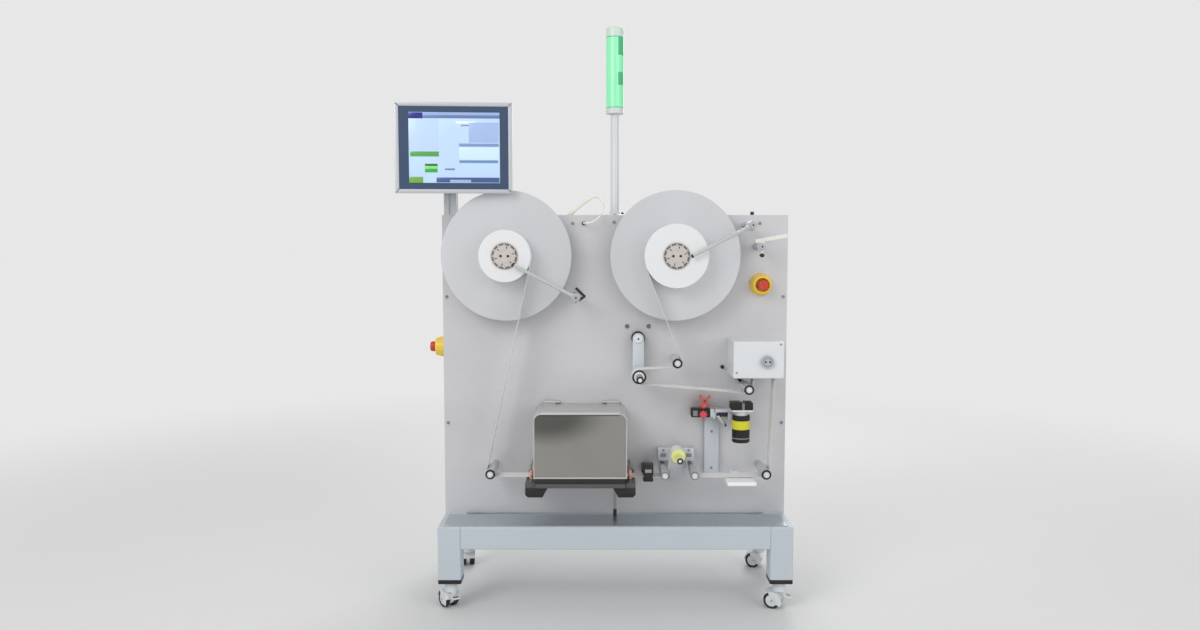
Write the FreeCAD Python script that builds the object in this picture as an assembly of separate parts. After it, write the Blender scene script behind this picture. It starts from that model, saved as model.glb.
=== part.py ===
import FreeCAD
import Part
import math
import os

V = FreeCAD.Vector

# Directions: X to the right seen from the front, Y into the machine, Z up, all in millimetres.
# The origin is on the floor, midway along the stand, under the faceplate's front face.

# Stand
STAND_WIDTH = 1080.0
STAND_OVERHANG = 160.0
TUBE = 70.0
TUBE_WALL = 3.0
TUBE_CORNER = 4.0
LEG_LENGTH = 164.0
LEG_PLUG = 13.0
PLUG_DEPTH = 20.0

# Casters
CASTER_HEIGHT = 85.0
WHEEL_RADIUS = 25.0
WHEEL_WIDTH = 16.0
CASTER_WEB = 12.0
FENDER_GAP = 2.0
FENDER_WALL = 3.0
CASTER_TRAIL = 20.0
STEM_RADIUS = 6.0
CASTER_NECK_RADIUS = 20.0
AXLE_RADIUS = 4.0
CASTER_TURNS = {"front_left": 125.0, "front_right": 160.0, "rear_left": 100.0, "rear_right": 165.0}
PEDAL_LENGTH = 22.0
PEDAL_PIN_RADIUS = 2.5
PEDAL_PIN_BACK = 16.0
PEDAL_PIN_HEIGHT = 40.0
NECK_CLEARANCE = 9.0

# Deck
DECK_THICK = 3.0
DECK_SIDE_INSET = 17.0
DECK_FRONT_INSET = 5.0
DECK_REAR_GAP = 30.0

# Faceplate and cabinet
PLATE_HEIGHT = 945.0
PLATE_THICK = 12.0
SHEET = 2.0
CABINET_INSET = 3.0
CABINET_DEPTH = 256.0
ROOF_DROP = 3.0
DOOR_DEPTH = 18.0
DOOR_GAP = 2.0
DOOR_SHEET = 2.0
HINGE_PIN_RADIUS = 3.0
KNUCKLE_RADIUS = 5.0
KNUCKLE_LENGTH = 30.0
KNUCKLE_INSET = 120.0
LEAF_WIDTH = 24.0
LEAF_LAP = 30.0
LEAF_THICK = 2.0
HANDLE_LENGTH = 90.0
HANDLE_REACH = 24.0
HANDLE_THICK = 12.0
HANDLE_STEM_RADIUS = 6.0

# Running fits and small gaps
SHAFT_FIT = 0.05
GAP = 0.3

# Reels
REEL_SPACING_LEFT = 334.0
REEL_SPACING_RIGHT = 184.0
REEL_DROP = 126.0
REEL_DISC_RADIUS = 200.0
REEL_DISC_THICK = 6.0
REEL_STANDOFF = 66.0
HUB_RADIUS = 38.0
HUB_LENGTH = 62.0
REEL_BOSS_RADIUS = 32.0
REEL_SHAFT_RADIUS = 12.5
REEL_SHAFT_BACK = 60.0
FLANGE_RADIUS = 45.0
FLANGE_THICK = 12.0
SUPPLY_ROLL_RADIUS = 97.0
REWIND_ROLL_RADIUS = 79.0
CORE_WALL = 3.0

# Label web
WEB_WIDTH = 56.0
WEB_THICK = 0.5
WEB_BACK = 67.0

# Idlers and guide rollers
ROLLER_BACK = 58.0
ROLLER_FRONT = 160.0
IDLER_RADIUS = 15.0
IDLER_PIN_RADIUS = 6.0
PIN_SPACER_RADIUS = 10.0
PIN_COLLAR_RADIUS = 9.0
PIN_COLLAR_THICK = 4.0
PIN_NOSE = 4.0
UNWIND_IDLER = (185.0, 499.0)
UPPER_IDLER_INSET = 140.0
UPPER_IDLER_RISE = 419.0
INFEED_INSET = 85.0
INFEED_RISE = 161.0
OUTFEED_INSET = 162.0
OUTFEED_RISE = 162.0
GUIDE_RADIUS = 13.0
GUIDE_SPACING = 90.0
GUIDE_CENTRE = 194.0
GUIDE_RISE = 157.5

# Dancer
DANCER_PIVOT = (72.0, 561.0)
DANCER_ARM_LENGTH = 108.5
DANCER_ARM_WIDTH = 35.0
DANCER_ARM_THICK = 12.0
DANCER_HOUSING_RADIUS = 21.0
DANCER_HOUSING_LENGTH = 30.0
DANCER_SHAFT_RADIUS = 10.0
DANCER_ROLLER_RADIUS = 21.5
DANCER_PIN_RADIUS = 8.0
DANCER_NOSE_RADIUS = 11.0
DANCER_NOSE_END = 190.0
DANCER_CAP_RADIUS = 13.0
DANCER_CAP_THICK = 5.0
DANCER_STOP_SPACING = 68.0
DANCER_STOP_RISE = 36.0

# Capstan
CAPSTAN = (192.0, 209.0)
CAPSTAN_RADIUS = 21.5
CAPSTAN_SHAFT_RADIUS = 9.5
CAPSTAN_NOSE_END = 190.0
CAPSTAN_BLOCK_WIDTH = 115.0
CAPSTAN_BLOCK_HEIGHT = 41.0
CAPSTAN_BLOCK_THICK = 32.0
CAPSTAN_FOOT_WIDTH = 40.0
CAPSTAN_FOOT_HEIGHT = 61.0

# Metering box
METER_RIGHT_INSET = 30.0
METER_WIDTH = 154.0
METER_HEIGHT = 113.0
METER_RISE = 449.0
METER_DEPTH = 118.0
METER_LID = 12.0
METER_WALL = 3.0
METER_ROLLER_INSET = 82.0
METER_ROLLER_HEIGHT = 52.0
METER_ROLLER_RADIUS = 27.0
METER_SHAFT_RADIUS = 8.0
METER_KNOB_RADIUS = 19.0
METER_KNOB_THICK = 12.0
METER_SLOT_WIDTH = 112.0
STRUT_WIDTH = 12.0
STRUT_BACK = 18.0
STRUT_THICK = 6.0
STRUT_INSET = 14.0

# Print station
STATION_CENTRE = -106.0
STATION_WIDTH = 268.0
TABLE_RISE = 125.0
TABLE_THICK = 16.0
TABLE_DEPTH = 182.0
TABLE_EDGE_HEIGHT = 14.0
TABLE_EDGE_THICK = 8.0
PLATEN_WIDTH = 120.0
PLATEN_HEIGHT = 3.0
BRACKET_WIDTH = 68.0
BRACKET_HEIGHT = 29.0
BRACKET_OVERHANG = 32.0
GUIDE_POST_RADIUS = 2.5
GUIDE_COLLAR_RADIUS = 6.0
GUIDE_COLLAR_HEIGHT = 28.0
GUIDE_POST_HEIGHT = 46.0
CODER_WIDTH = 190.0
CODER_HEIGHT = 150.0
CODER_DEPTH = 150.0
CODER_RISE = 178.0
HEAD_WIDTH = 90.0
HEAD_HEIGHT = 26.0
HEAD_STROKE = 3.0
HEAD_ROD_RADIUS = 8.0
HEAD_ROD_LENGTH = 20.0

# Hood over the print station
HOOD_WIDTH = 280.0
HOOD_RISE = 155.0
HOOD_HEIGHT = 197.0
HOOD_DEPTH = 188.0
HOOD_CORNER = 22.0
HOOD_WALL = 2.0
HOOD_FRONT_WALL = 3.5
HOOD_RIM = 9.0
HOOD_RECESS = 1.5
HOOD_BACK_GAP = 2.0
HOOD_PIVOT_BACK = 10.0
HOOD_PIVOT_RISE = 5.5
HOOD_KNUCKLE_LENGTH = 40.0
HOOD_KNUCKLE_SPACING = 200.0

# Stud from the print table down through the deck, with its nut below
STATION_POST_X = 0.0
STATION_POST_RADIUS = 4.0
STATION_POST_BACK = 50.0
STATION_POST_TAIL = 8.0
STATION_NUT_RADIUS = 9.0
STATION_NUT_THICK = 5.0

# Fork sensor
FORK_X = 100.0
FORK_WIDTH = 31.0
FORK_RISE = 134.0
FORK_HEIGHT = 28.0
FORK_HEAD_DEPTH = 32.0
FORK_HEAD_HEIGHT = 53.0
FORK_DEPTH = 132.0
FORK_BACK = 60.0
FORK_SLOT = 12.0
FORK_SLOT_RISE = 6.0

# Inspection stand and camera
PLAQUE_WIDTH = 88.0
PLAQUE_RIGHT_INSET = 117.0
PLAQUE_RISE = 142.5
PLAQUE_THICK = 12.0
PLAQUE_FRONT = 179.0
PLAQUE_BACK = 60.0
PLAQUE_ARM_WIDTH = 30.0
PLAQUE_ARM_THICK = 7.0
POST_X = 304.5
POST_WIDTH = 45.0
POST_RISE = 130.0
POST_HEIGHT = 208.0
POST_THICK = 12.0
POST_STANDOFF = 8.0
POST_CHAMFER = 18.0
CLAMP_WIDTH = 84.0
CLAMP_HEIGHT = 25.0
CLAMP_DEPTH = 40.0
CLAMP_RISE = 318.0
CLAMP_LEFT = 237.0
CLAMP_KNOB_RADIUS = 12.0
CLAMP_KNOB_LENGTH = 24.0
CLAMP_LEVER_INSET = 40.0
CLAMP_KNOB_OFFSET = 10.0
CAMERA_ARM_RADIUS = 6.0
CAMERA_INSET = 158.0
CAMERA_Y = 120.0
CAMERA_RADIUS = 27.0
CAMERA_BOTTOM_RISE = 254.0
CAMERA_BODY_HEIGHT = 83.0
CAMERA_BLOCK_WIDTH = 66.0
CAMERA_BLOCK_DEPTH = 50.0
CAMERA_BLOCK_HEIGHT = 28.0
CAMERA_NECK_RADIUS = 20.0

# Keeper arms
KEEPER_POST_RADIUS = 7.0
KEEPER_FOOT_RADIUS = 12.0
KEEPER_FOOT_LENGTH = 10.0
KEEPER_PLANE = 140.0
KEEPER_CLAMP_RADIUS = 13.0
KEEPER_CLAMP_LENGTH = 20.0
KEEPER_ROD_RADIUS = 5.5
KEEPER_CAP_LIP = 3.0
KEEPER_CAP = 6.0
REWIND_KEEPER_OFFSET = (215.0, 124.0)
REWIND_KEEPER_REACH = (185.0, 97.0)
SUPPLY_KEEPER_INSET = 133.0
SUPPLY_KEEPER_DROP = 34.0
SUPPLY_KEEPER_REACH = (176.0, 91.0)
KEEPER_LEVER_LONG = 37.0
KEEPER_LEVER_SHORT = 15.0
KEEPER_LEVER_RADIUS = 3.0
EDGE_ARM_INSET = 98.0
EDGE_ARM_DROP = 98.0
EDGE_ARM_PLANE = 100.0
EDGE_ARM_LENGTH = 98.0
EDGE_ARM_LIFT = 16.0
EDGE_ARM_TAIL = 20.0
EDGE_ARM_THICK = 12.0
EDGE_ARM_ANGLE = 10.0
EDGE_KNOB_DROP = 26.0
EDGE_KNOB_RADIUS = 8.0

# Emergency stops
STOP_INSET = 83.0
STOP_DROP = 217.0
SIDE_STOP_DROP = 418.0
SIDE_STOP_BACK = 60.0
SHROUD_RADIUS = 36.0
SHROUD_TIP_RADIUS = 27.0
SHROUD_BORE_RADIUS = 21.0
SHROUD_HEIGHT = 36.0
SHROUD_FLOOR = 8.0
STOP_HEAD_RADIUS = 16.0
STOP_HEAD_THICK = 18.0
STOP_REACH = 54.0
STOP_STEM_RADIUS = 8.0
STOP_STEM_BACK = 24.0
STOP_TRAVEL = 4.0

# Operator panel and its post
HMI_POST_SIZE = 40.0
HMI_POST_INSET = 23.0
HMI_POST_BACK = 40.0
HMI_POST_HEIGHT = 180.0
HMI_GROOVE = 8.0
HMI_GROOVE_DEPTH = 6.0
HMI_FOOT_SIZE = 60.0
HMI_FOOT_THICK = 6.0
HMI_PIN_RADIUS = 8.0
HMI_HUB_RADIUS = 19.0
HMI_HUB_HEIGHT = 30.0
HMI_WIDTH = 350.0
HMI_HEIGHT = 270.0
HMI_BEZEL_THICK = 10.0
HMI_BODY_WIDTH = 320.0
HMI_BODY_HEIGHT = 216.0
HMI_BODY_DEPTH = 42.0
HMI_OFFSET_X = 22.0
HMI_FRONT = 110.0
HMI_FRAME = 12.0
HMI_BOTTOM_RISE = 62.0
HMI_RECESS = 2.0
HMI_TILT_RADIUS = 10.0
HMI_TILT_PIN = 5.0
HMI_YOKE_WIDTH = 60.0
HMI_EAR = 10.0
HMI_REST_TURN = 4.0

# Light tower
TOWER_X = 0.0
TOWER_BACK = 60.0
TOWER_FOOT_RADIUS = 35.0
TOWER_FOOT_THICK = 8.0
TOWER_POLE_RADIUS = 13.5
TOWER_POLE_HEIGHT = 321.0
LAMP_RADIUS = 28.0
LAMP_HEIGHT = 268.0
LAMP_BASE_HEIGHT = 18.0
LAMP_CAP_HEIGHT = 31.0

# Tower cable: a sleeved part from the gland in the roof, then a thin part over the faceplate's top edge
# to the gland in its front. Route points are X, Y and the rise above the roof.
SLEEVE_RADIUS = 4.5
CABLE_RADIUS = 2.5
CABLE_ROOF = (-143.0, 50.0)
CABLE_ENTRY = (-98.0, 26.0)
ENTRY_LENGTH = 8.0
ENTRY_RADIUS = 6.0
GLAND_RADIUS = 9.0
GLAND_HEIGHT = 8.0
ELBOW_RADIUS = 7.0
ELBOW_RISE = 6.0
SLEEVE_ROUTE = [(-129.0, 49.0, 17.2), (-91.0, 46.3, 47.6), (-74.0, 43.0, 57.0)]
CABLE_ROUTE = [(-74.0, 43.0, 57.0), (-60.0, 40.0, 62.0), (-41.0, 22.0, 52.0), (-34.0, 0.0, 30.0),
               (-42.0, -20.0, 4.0), (-60.0, -33.0, -14.0), (-80.0, -38.0, -23.0), (-98.0, -32.0, -23.0),
               (-98.0, -8.0, -23.0)]

# Screws in the faceplate: distance from the left or right edge, and from the top edge
SCREW_RADIUS = 5.0
SCREW_HEAD = 4.0
EDGE_SCREWS = [(12.0, 255.0), (12.0, 655.0)]
TOP_SCREWS = [(-132.0, 26.0), (-3.0, 22.0), (452.0, 26.0)]

# Thumb knobs on the faceplate beside the metering box and on the roof
KNOB_RADIUS = 6.0
KNOB_LENGTH = 14.0
PLATE_KNOB_GAP = 18.0
PLATE_KNOB_RISE = 20.0
ROOF_KNOB_INSET = 109.0
ROOF_KNOB_BACK = 24.0

# Drives and electrical panel behind the faceplate
GEARBOX_SIZE = 90.0
GEARBOX_DEPTH = 55.0
MOTOR_RADIUS = 38.0
MOTOR_LENGTH = 110.0
PANEL_LEFT_INSET = 80.0
PANEL_WIDTH = 400.0
PANEL_HEIGHT = 300.0
PANEL_RISE = 40.0
PANEL_STANDOFF = 14.0
PANEL_THICK = 3.0
DEVICE_DEPTHS = [70.0, 95.0, 60.0, 110.0]
DEVICE_WIDTH = 78.0
DEVICE_HEIGHT = 120.0
DUCT_INSET = 32.0
DUCT_HEIGHT = 40.0
DUCT_DEPTH = 50.0

# Heights and edges that follow from the sizes above
LEG_BOTTOM = CASTER_HEIGHT + LEG_PLUG
FRAME_TOP = LEG_BOTTOM + LEG_LENGTH
STAND_BACK = PLATE_THICK + CABINET_DEPTH + DOOR_GAP + DOOR_DEPTH
PLATE_BOTTOM = FRAME_TOP
PLATE_TOP = PLATE_BOTTOM + PLATE_HEIGHT
RIGHT_EDGE = STAND_WIDTH / 2
LEFT_EDGE = -STAND_WIDTH / 2
CABINET_HALF = STAND_WIDTH / 2 - CABINET_INSET
CABINET_BACK = PLATE_THICK + CABINET_DEPTH
ROOF_TOP = PLATE_TOP - ROOF_DROP
REEL_Z = PLATE_TOP - REEL_DROP
SUPPLY_REEL = (REEL_SPACING_RIGHT, REEL_Z)
REWIND_REEL = (-REEL_SPACING_LEFT, REEL_Z)
WEB_FRONT = WEB_BACK + WEB_WIDTH


def on_plate(place):
    """A place on the faceplate, given as X and the rise above its lower edge."""
    return (place[0], PLATE_BOTTOM + place[1])


UNWIND = on_plate(UNWIND_IDLER)
UPPER = on_plate((RIGHT_EDGE - UPPER_IDLER_INSET, UPPER_IDLER_RISE))
INFEED = on_plate((RIGHT_EDGE - INFEED_INSET, INFEED_RISE))
OUTFEED = on_plate((LEFT_EDGE + OUTFEED_INSET, OUTFEED_RISE))
GUIDE_LEFT = on_plate((GUIDE_CENTRE - GUIDE_SPACING / 2, GUIDE_RISE))
GUIDE_RIGHT = on_plate((GUIDE_CENTRE + GUIDE_SPACING / 2, GUIDE_RISE))
CAPSTAN_AXIS = on_plate(CAPSTAN)
DANCER_AXIS = on_plate(DANCER_PIVOT)
DANCER_ROLLER = (DANCER_AXIS[0], DANCER_AXIS[1] - DANCER_ARM_LENGTH)
CAMERA_X = RIGHT_EDGE - CAMERA_INSET
METER_X0 = RIGHT_EDGE - METER_RIGHT_INSET - METER_WIDTH
METER_X1 = RIGHT_EDGE - METER_RIGHT_INSET
METER_Z0 = PLATE_BOTTOM + METER_RISE
METER_Z1 = METER_Z0 + METER_HEIGHT
METER_ROLLER = (RIGHT_EDGE - METER_ROLLER_INSET, METER_Z0 + METER_ROLLER_HEIGHT)
REWIND_KEEPER = (REWIND_REEL[0] + REWIND_KEEPER_OFFSET[0], REWIND_REEL[1] - REWIND_KEEPER_OFFSET[1])
SUPPLY_KEEPER = (RIGHT_EDGE - SUPPLY_KEEPER_INSET, PLATE_TOP - SUPPLY_KEEPER_DROP)
EDGE_ARM = (RIGHT_EDGE - EDGE_ARM_INSET, PLATE_TOP - EDGE_ARM_DROP)
STOP_FRONT = (RIGHT_EDGE - STOP_INSET, PLATE_TOP - STOP_DROP)
STOP_SIDE = (SIDE_STOP_BACK, PLATE_TOP - SIDE_STOP_DROP)
STATION_X0 = STATION_CENTRE - STATION_WIDTH / 2
STATION_X1 = STATION_CENTRE + STATION_WIDTH / 2
TABLE_Z = PLATE_BOTTOM + TABLE_RISE
TABLE_TOP = TABLE_Z + TABLE_THICK
HOOD_Z0 = PLATE_BOTTOM + HOOD_RISE
HOOD_Z1 = HOOD_Z0 + HOOD_HEIGHT
HOOD_PIVOT = (-HOOD_PIVOT_BACK, HOOD_Z1 + HOOD_PIVOT_RISE)
HMI_AXIS = (LEFT_EDGE + HMI_POST_INSET, HMI_POST_BACK)
HMI_Z0 = PLATE_TOP + HMI_BOTTOM_RISE
HMI_TILT = (-HMI_FRONT + HMI_BEZEL_THICK + HMI_BODY_DEPTH + HMI_TILT_RADIUS + 6.0,
            ROOF_TOP + HMI_POST_HEIGHT + HMI_HUB_HEIGHT / 2)
CABINET_DOOR_Y = CABINET_BACK + DOOR_GAP
DOOR_PIVOT_Y = CABINET_DOOR_Y + DOOR_DEPTH - HINGE_PIN_RADIUS
DOOR_PIVOT_X = CABINET_HALF + KNUCKLE_RADIUS - 1.0
DOOR_Z0 = FRAME_TOP + 6.0
DOOR_Z1 = ROOF_TOP - 6.0
KNUCKLE_HEIGHTS = [DOOR_Z0 + KNUCKLE_INSET, DOOR_Z1 - KNUCKLE_INSET]
HANDLE_AXIS = (30.0, (DOOR_Z0 + DOOR_Z1) / 2)


def box(x0, x1, y0, y1, z0, z1):
    return Part.makeBox(x1 - x0, y1 - y0, z1 - z0, V(x0, y0, z0))


def rod_y(place, radius, y0, y1):
    """A cylinder along Y at a place (X, Z)."""
    return Part.makeCylinder(radius, y1 - y0, V(place[0], y0, place[1]), V(0, 1, 0))


def rod_z(x, y, radius, z0, z1):
    return Part.makeCylinder(radius, z1 - z0, V(x, y, z0), V(0, 0, 1))


def rod_x(y, z, radius, x0, x1):
    return Part.makeCylinder(radius, x1 - x0, V(x0, y, z), V(1, 0, 0))


def prism_y(points, y0, y1):
    """A flat outline of (X, Z) points, as deep as y0 to y1."""
    wire = Part.makePolygon([V(x, y0, z) for x, z in points + points[:1]])
    return Part.Face(wire).extrude(V(0, y1 - y0, 0))


def join(first, *others):
    shape = first
    for other in others:
        shape = shape.fuse(other)
    return shape.removeSplitter()


def group(*solids):
    flat = []
    for item in solids:
        flat.extend(item.Solids)
    return Part.makeCompound(flat)


def round_edges(shape, radius, chosen):
    """Rounds the straight edges for which chosen(start, end) is true."""
    edges = []
    for edge in shape.Edges:
        if len(edge.Vertexes) == 2 and chosen(edge.Vertexes[0].Point, edge.Vertexes[1].Point):
            edges.append(edge)
    return shape.makeFillet(radius, edges)


def along_z(a, b):
    return abs(a.x - b.x) < 0.01 and abs(a.y - b.y) < 0.01


def along_x(a, b):
    return abs(a.y - b.y) < 0.01 and abs(a.z - b.z) < 0.01


def along_y(a, b):
    return abs(a.x - b.x) < 0.01 and abs(a.z - b.z) < 0.01


# Stand: four legs and four rails of square tube


def stand_frame():
    half = STAND_WIDTH / 2
    front = -STAND_OVERHANG
    rail_z0 = FRAME_TOP - TUBE
    solids = []
    for x0 in (-half, half - TUBE):
        for y0 in (front, STAND_BACK - TUBE):
            leg = box(x0, x0 + TUBE, y0, y0 + TUBE, LEG_BOTTOM, FRAME_TOP)
            leg = round_edges(leg, TUBE_CORNER,
                              lambda a, b: along_z(a, b) or (a.z > LEG_BOTTOM + 1 and b.z > LEG_BOTTOM + 1))
            solids.append(leg.cut(box(x0 + TUBE_WALL, x0 + TUBE - TUBE_WALL, y0 + TUBE_WALL,
                                      y0 + TUBE - TUBE_WALL, LEG_BOTTOM, FRAME_TOP - TUBE_WALL)))
    for y0 in (front, STAND_BACK - TUBE):
        rail = box(-half + TUBE, half - TUBE, y0, y0 + TUBE, rail_z0, FRAME_TOP)
        rail = round_edges(rail, TUBE_CORNER, along_x)
        solids.append(rail.cut(box(-half + TUBE, half - TUBE, y0 + TUBE_WALL, y0 + TUBE - TUBE_WALL,
                                   rail_z0 + TUBE_WALL, FRAME_TOP - TUBE_WALL)))
    for x0 in (-half, half - TUBE):
        rail = box(x0, x0 + TUBE, front + TUBE, STAND_BACK - TUBE, rail_z0, FRAME_TOP)
        rail = round_edges(rail, TUBE_CORNER, along_y)
        solids.append(rail.cut(box(x0 + TUBE_WALL, x0 + TUBE - TUBE_WALL, front + TUBE, STAND_BACK - TUBE,
                                   rail_z0 + TUBE_WALL, FRAME_TOP - TUBE_WALL)))
    return group(*solids)


def leg_centres():
    x = STAND_WIDTH / 2 - TUBE / 2
    front = -STAND_OVERHANG + TUBE / 2
    back = STAND_BACK - TUBE / 2
    return {"front_left": (-x, front), "front_right": (x, front),
            "rear_left": (-x, back), "rear_right": (x, back)}


def leg_plugs():
    """Plastic end plugs: a plate under the tube and a core inside it, with the caster's stem hole."""
    solids = []
    inner = TUBE / 2 - TUBE_WALL
    for x, y in leg_centres().values():
        plate = box(x - TUBE / 2, x + TUBE / 2, y - TUBE / 2, y + TUBE / 2, CASTER_HEIGHT, LEG_BOTTOM)
        plate = round_edges(plate, TUBE_CORNER, along_z)
        core = box(x - inner, x + inner, y - inner, y + inner, LEG_BOTTOM, LEG_BOTTOM + PLUG_DEPTH)
        hole = rod_z(x, y, STEM_RADIUS + SHAFT_FIT, CASTER_HEIGHT, LEG_BOTTOM + PLUG_DEPTH)
        solids.append(join(plate, core).cut(hole))
    return group(*solids)


# Casters: a hood with a stem, twin wheels on one axle, and a pedal on the front ones


def placed(shape, name):
    """Turns a shape drawn with the stem at the origin and the wheel towards +X into place."""
    x, y = leg_centres()[name]
    shape = shape.copy()
    shape.rotate(V(0, 0, 0), V(0, 0, 1), CASTER_TURNS[name])
    shape.translate(V(x, y, 0))
    return shape


def caster_hood(name):
    r = WHEEL_RADIUS
    inner = r + FENDER_GAP
    outer = inner + FENDER_WALL
    half = CASTER_WEB / 2 + GAP + WHEEL_WIDTH
    centre = V(CASTER_TRAIL, 0, r)
    fender = Part.makeCylinder(outer, 2 * half, centre - V(0, half, 0), V(0, 1, 0))
    fender = fender.cut(Part.makeCylinder(inner, 2 * half, centre - V(0, half, 0), V(0, 1, 0)))
    fender = fender.cut(box(CASTER_TRAIL - 2 * outer, CASTER_TRAIL + 2 * outer, -2 * half, 2 * half,
                            r - 2 * outer, r + 4.0))
    web = Part.makeCylinder(inner, CASTER_WEB, centre - V(0, CASTER_WEB / 2, 0), V(0, 1, 0))
    web = web.cut(box(CASTER_TRAIL - outer, CASTER_TRAIL + outer, -half, half, r - outer, r - AXLE_RADIUS * 3))
    boss_top = CASTER_HEIGHT - 2.0
    boss = rod_z(0, 0, CASTER_NECK_RADIUS, pedal_pin()[1] + NECK_CLEARANCE, boss_top)
    boss = boss.cut(Part.makeCylinder(inner, 2 * half, centre - V(0, half, 0), V(0, 1, 0)))
    stem = rod_z(0, 0, STEM_RADIUS, boss_top, LEG_BOTTOM + PLUG_DEPTH - 2.0)
    hood = join(fender, web, boss, stem)
    if name.startswith("front"):
        pin_x, pin_z = pedal_pin()
        lug = box(pin_x - 5.0, -STEM_RADIUS, -CASTER_WEB / 2, CASTER_WEB / 2, pin_z - 5.0, pin_z + 22.0)
        lug = lug.cut(Part.makeCylinder(inner, 2 * half, centre - V(0, half, 0), V(0, 1, 0)))
        hood = join(hood, lug)
        pin_hole = Part.makeCylinder(PEDAL_PIN_RADIUS + SHAFT_FIT, 2 * half, V(pin_x, -half, pin_z), V(0, 1, 0))
        hood = hood.cut(pin_hole)
    axle_start = centre - V(0, half, 0)
    hood = hood.cut(Part.makeCylinder(AXLE_RADIUS + SHAFT_FIT, 2 * half, axle_start, V(0, 1, 0)))
    return placed(hood, name)


def pedal_pin():
    """Where the pedal turns, with the stem at the origin: X and Z."""
    return (-PEDAL_PIN_BACK, PEDAL_PIN_HEIGHT)


def twin_wheels(name):
    solids = []
    near = CASTER_WEB / 2 + GAP
    axle = Part.makeCylinder(AXLE_RADIUS, 2 * near, V(CASTER_TRAIL, -near, WHEEL_RADIUS), V(0, 1, 0))
    for side in (-1, 1):
        start = near if side > 0 else -near - WHEEL_WIDTH
        wheel = Part.makeCylinder(WHEEL_RADIUS, WHEEL_WIDTH, V(CASTER_TRAIL, start, WHEEL_RADIUS), V(0, 1, 0))
        rim = [e for e in wheel.Edges if len(e.Vertexes) == 1 and e.Length > WHEEL_RADIUS]
        solids.append(wheel.makeFillet(3.0, rim))
    return placed(join(axle, *solids), name)


def brake_pedal(name):
    """A tread plate with two cheeks and the pin that turns in the hood's lug."""
    pin_x, pin_z = pedal_pin()
    half = CASTER_WEB / 2 + GAP
    cheek = 5.0
    tread = box(pin_x - PEDAL_LENGTH, pin_x - 7.0, -half - cheek, half + cheek, pin_z - 5.0, pin_z + 1.0)
    shape = tread
    for y0 in (-half - cheek, half):
        shape = join(shape, box(pin_x - 8.0, pin_x + 4.0, y0, y0 + cheek, pin_z - 5.0, pin_z + 5.0))
    pin = Part.makeCylinder(PEDAL_PIN_RADIUS, 2 * half, V(pin_x, -half, pin_z), V(0, 1, 0))
    return placed(join(shape, pin), name)


# Deck panel, faceplate and cabinet


def deck_panel():
    half = STAND_WIDTH / 2 - DECK_SIDE_INSET
    deck_top = FRAME_TOP + DECK_THICK
    panel = box(-half, half, -STAND_OVERHANG + DECK_FRONT_INSET, -DECK_REAR_GAP, FRAME_TOP, deck_top)
    panel = round_edges(panel, 1.0, lambda a, b: a.z > FRAME_TOP + 1 and b.z > FRAME_TOP + 1)
    hole = rod_z(STATION_POST_X, -STATION_POST_BACK, STATION_POST_RADIUS + GAP, FRAME_TOP, deck_top)
    return panel.cut(hole)


def faceplate():
    plate = box(LEFT_EDGE, RIGHT_EDGE, 0, PLATE_THICK, PLATE_BOTTOM, PLATE_TOP)
    holes = [(SUPPLY_REEL, REEL_SHAFT_RADIUS + SHAFT_FIT), (REWIND_REEL, REEL_SHAFT_RADIUS + SHAFT_FIT),
             (DANCER_AXIS, DANCER_SHAFT_RADIUS + SHAFT_FIT), (CAPSTAN_AXIS, CAPSTAN_SHAFT_RADIUS + SHAFT_FIT),
             (STOP_FRONT, STOP_STEM_RADIUS + SHAFT_FIT)]
    for place, radius in holes:
        plate = plate.cut(rod_y(place, radius, 0, PLATE_THICK))
    return plate


def cabinet():
    """Side panels, roof, floor and the rear post that the doors close on."""
    y0 = PLATE_THICK
    y1 = CABINET_BACK
    half = CABINET_HALF
    solids = []
    for side in (-1, 1):
        x0 = -half if side < 0 else half - SHEET
        panel = box(x0, x0 + SHEET, y0, y1, FRAME_TOP, ROOF_TOP)
        if side < 0:
            hole = Part.makeCylinder(STOP_STEM_RADIUS + SHAFT_FIT, SHEET * 2,
                                     V(-half - SHEET / 2, STOP_SIDE[0], STOP_SIDE[1]), V(1, 0, 0))
            panel = panel.cut(hole)
        solids.append(panel)
    roof = box(-half + SHEET, half - SHEET, y0, y1, ROOF_TOP - SHEET, ROOF_TOP)
    floor = box(-half + SHEET, half - SHEET, y0, y1, FRAME_TOP, FRAME_TOP + SHEET)
    post = box(-20.0, 20.0, y1 - 20.0, y1, FRAME_TOP + SHEET, ROOF_TOP - SHEET)
    solids += [roof, floor, post]
    return group(*solids)


def hinge_x(side):
    return side * DOOR_PIVOT_X


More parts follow.
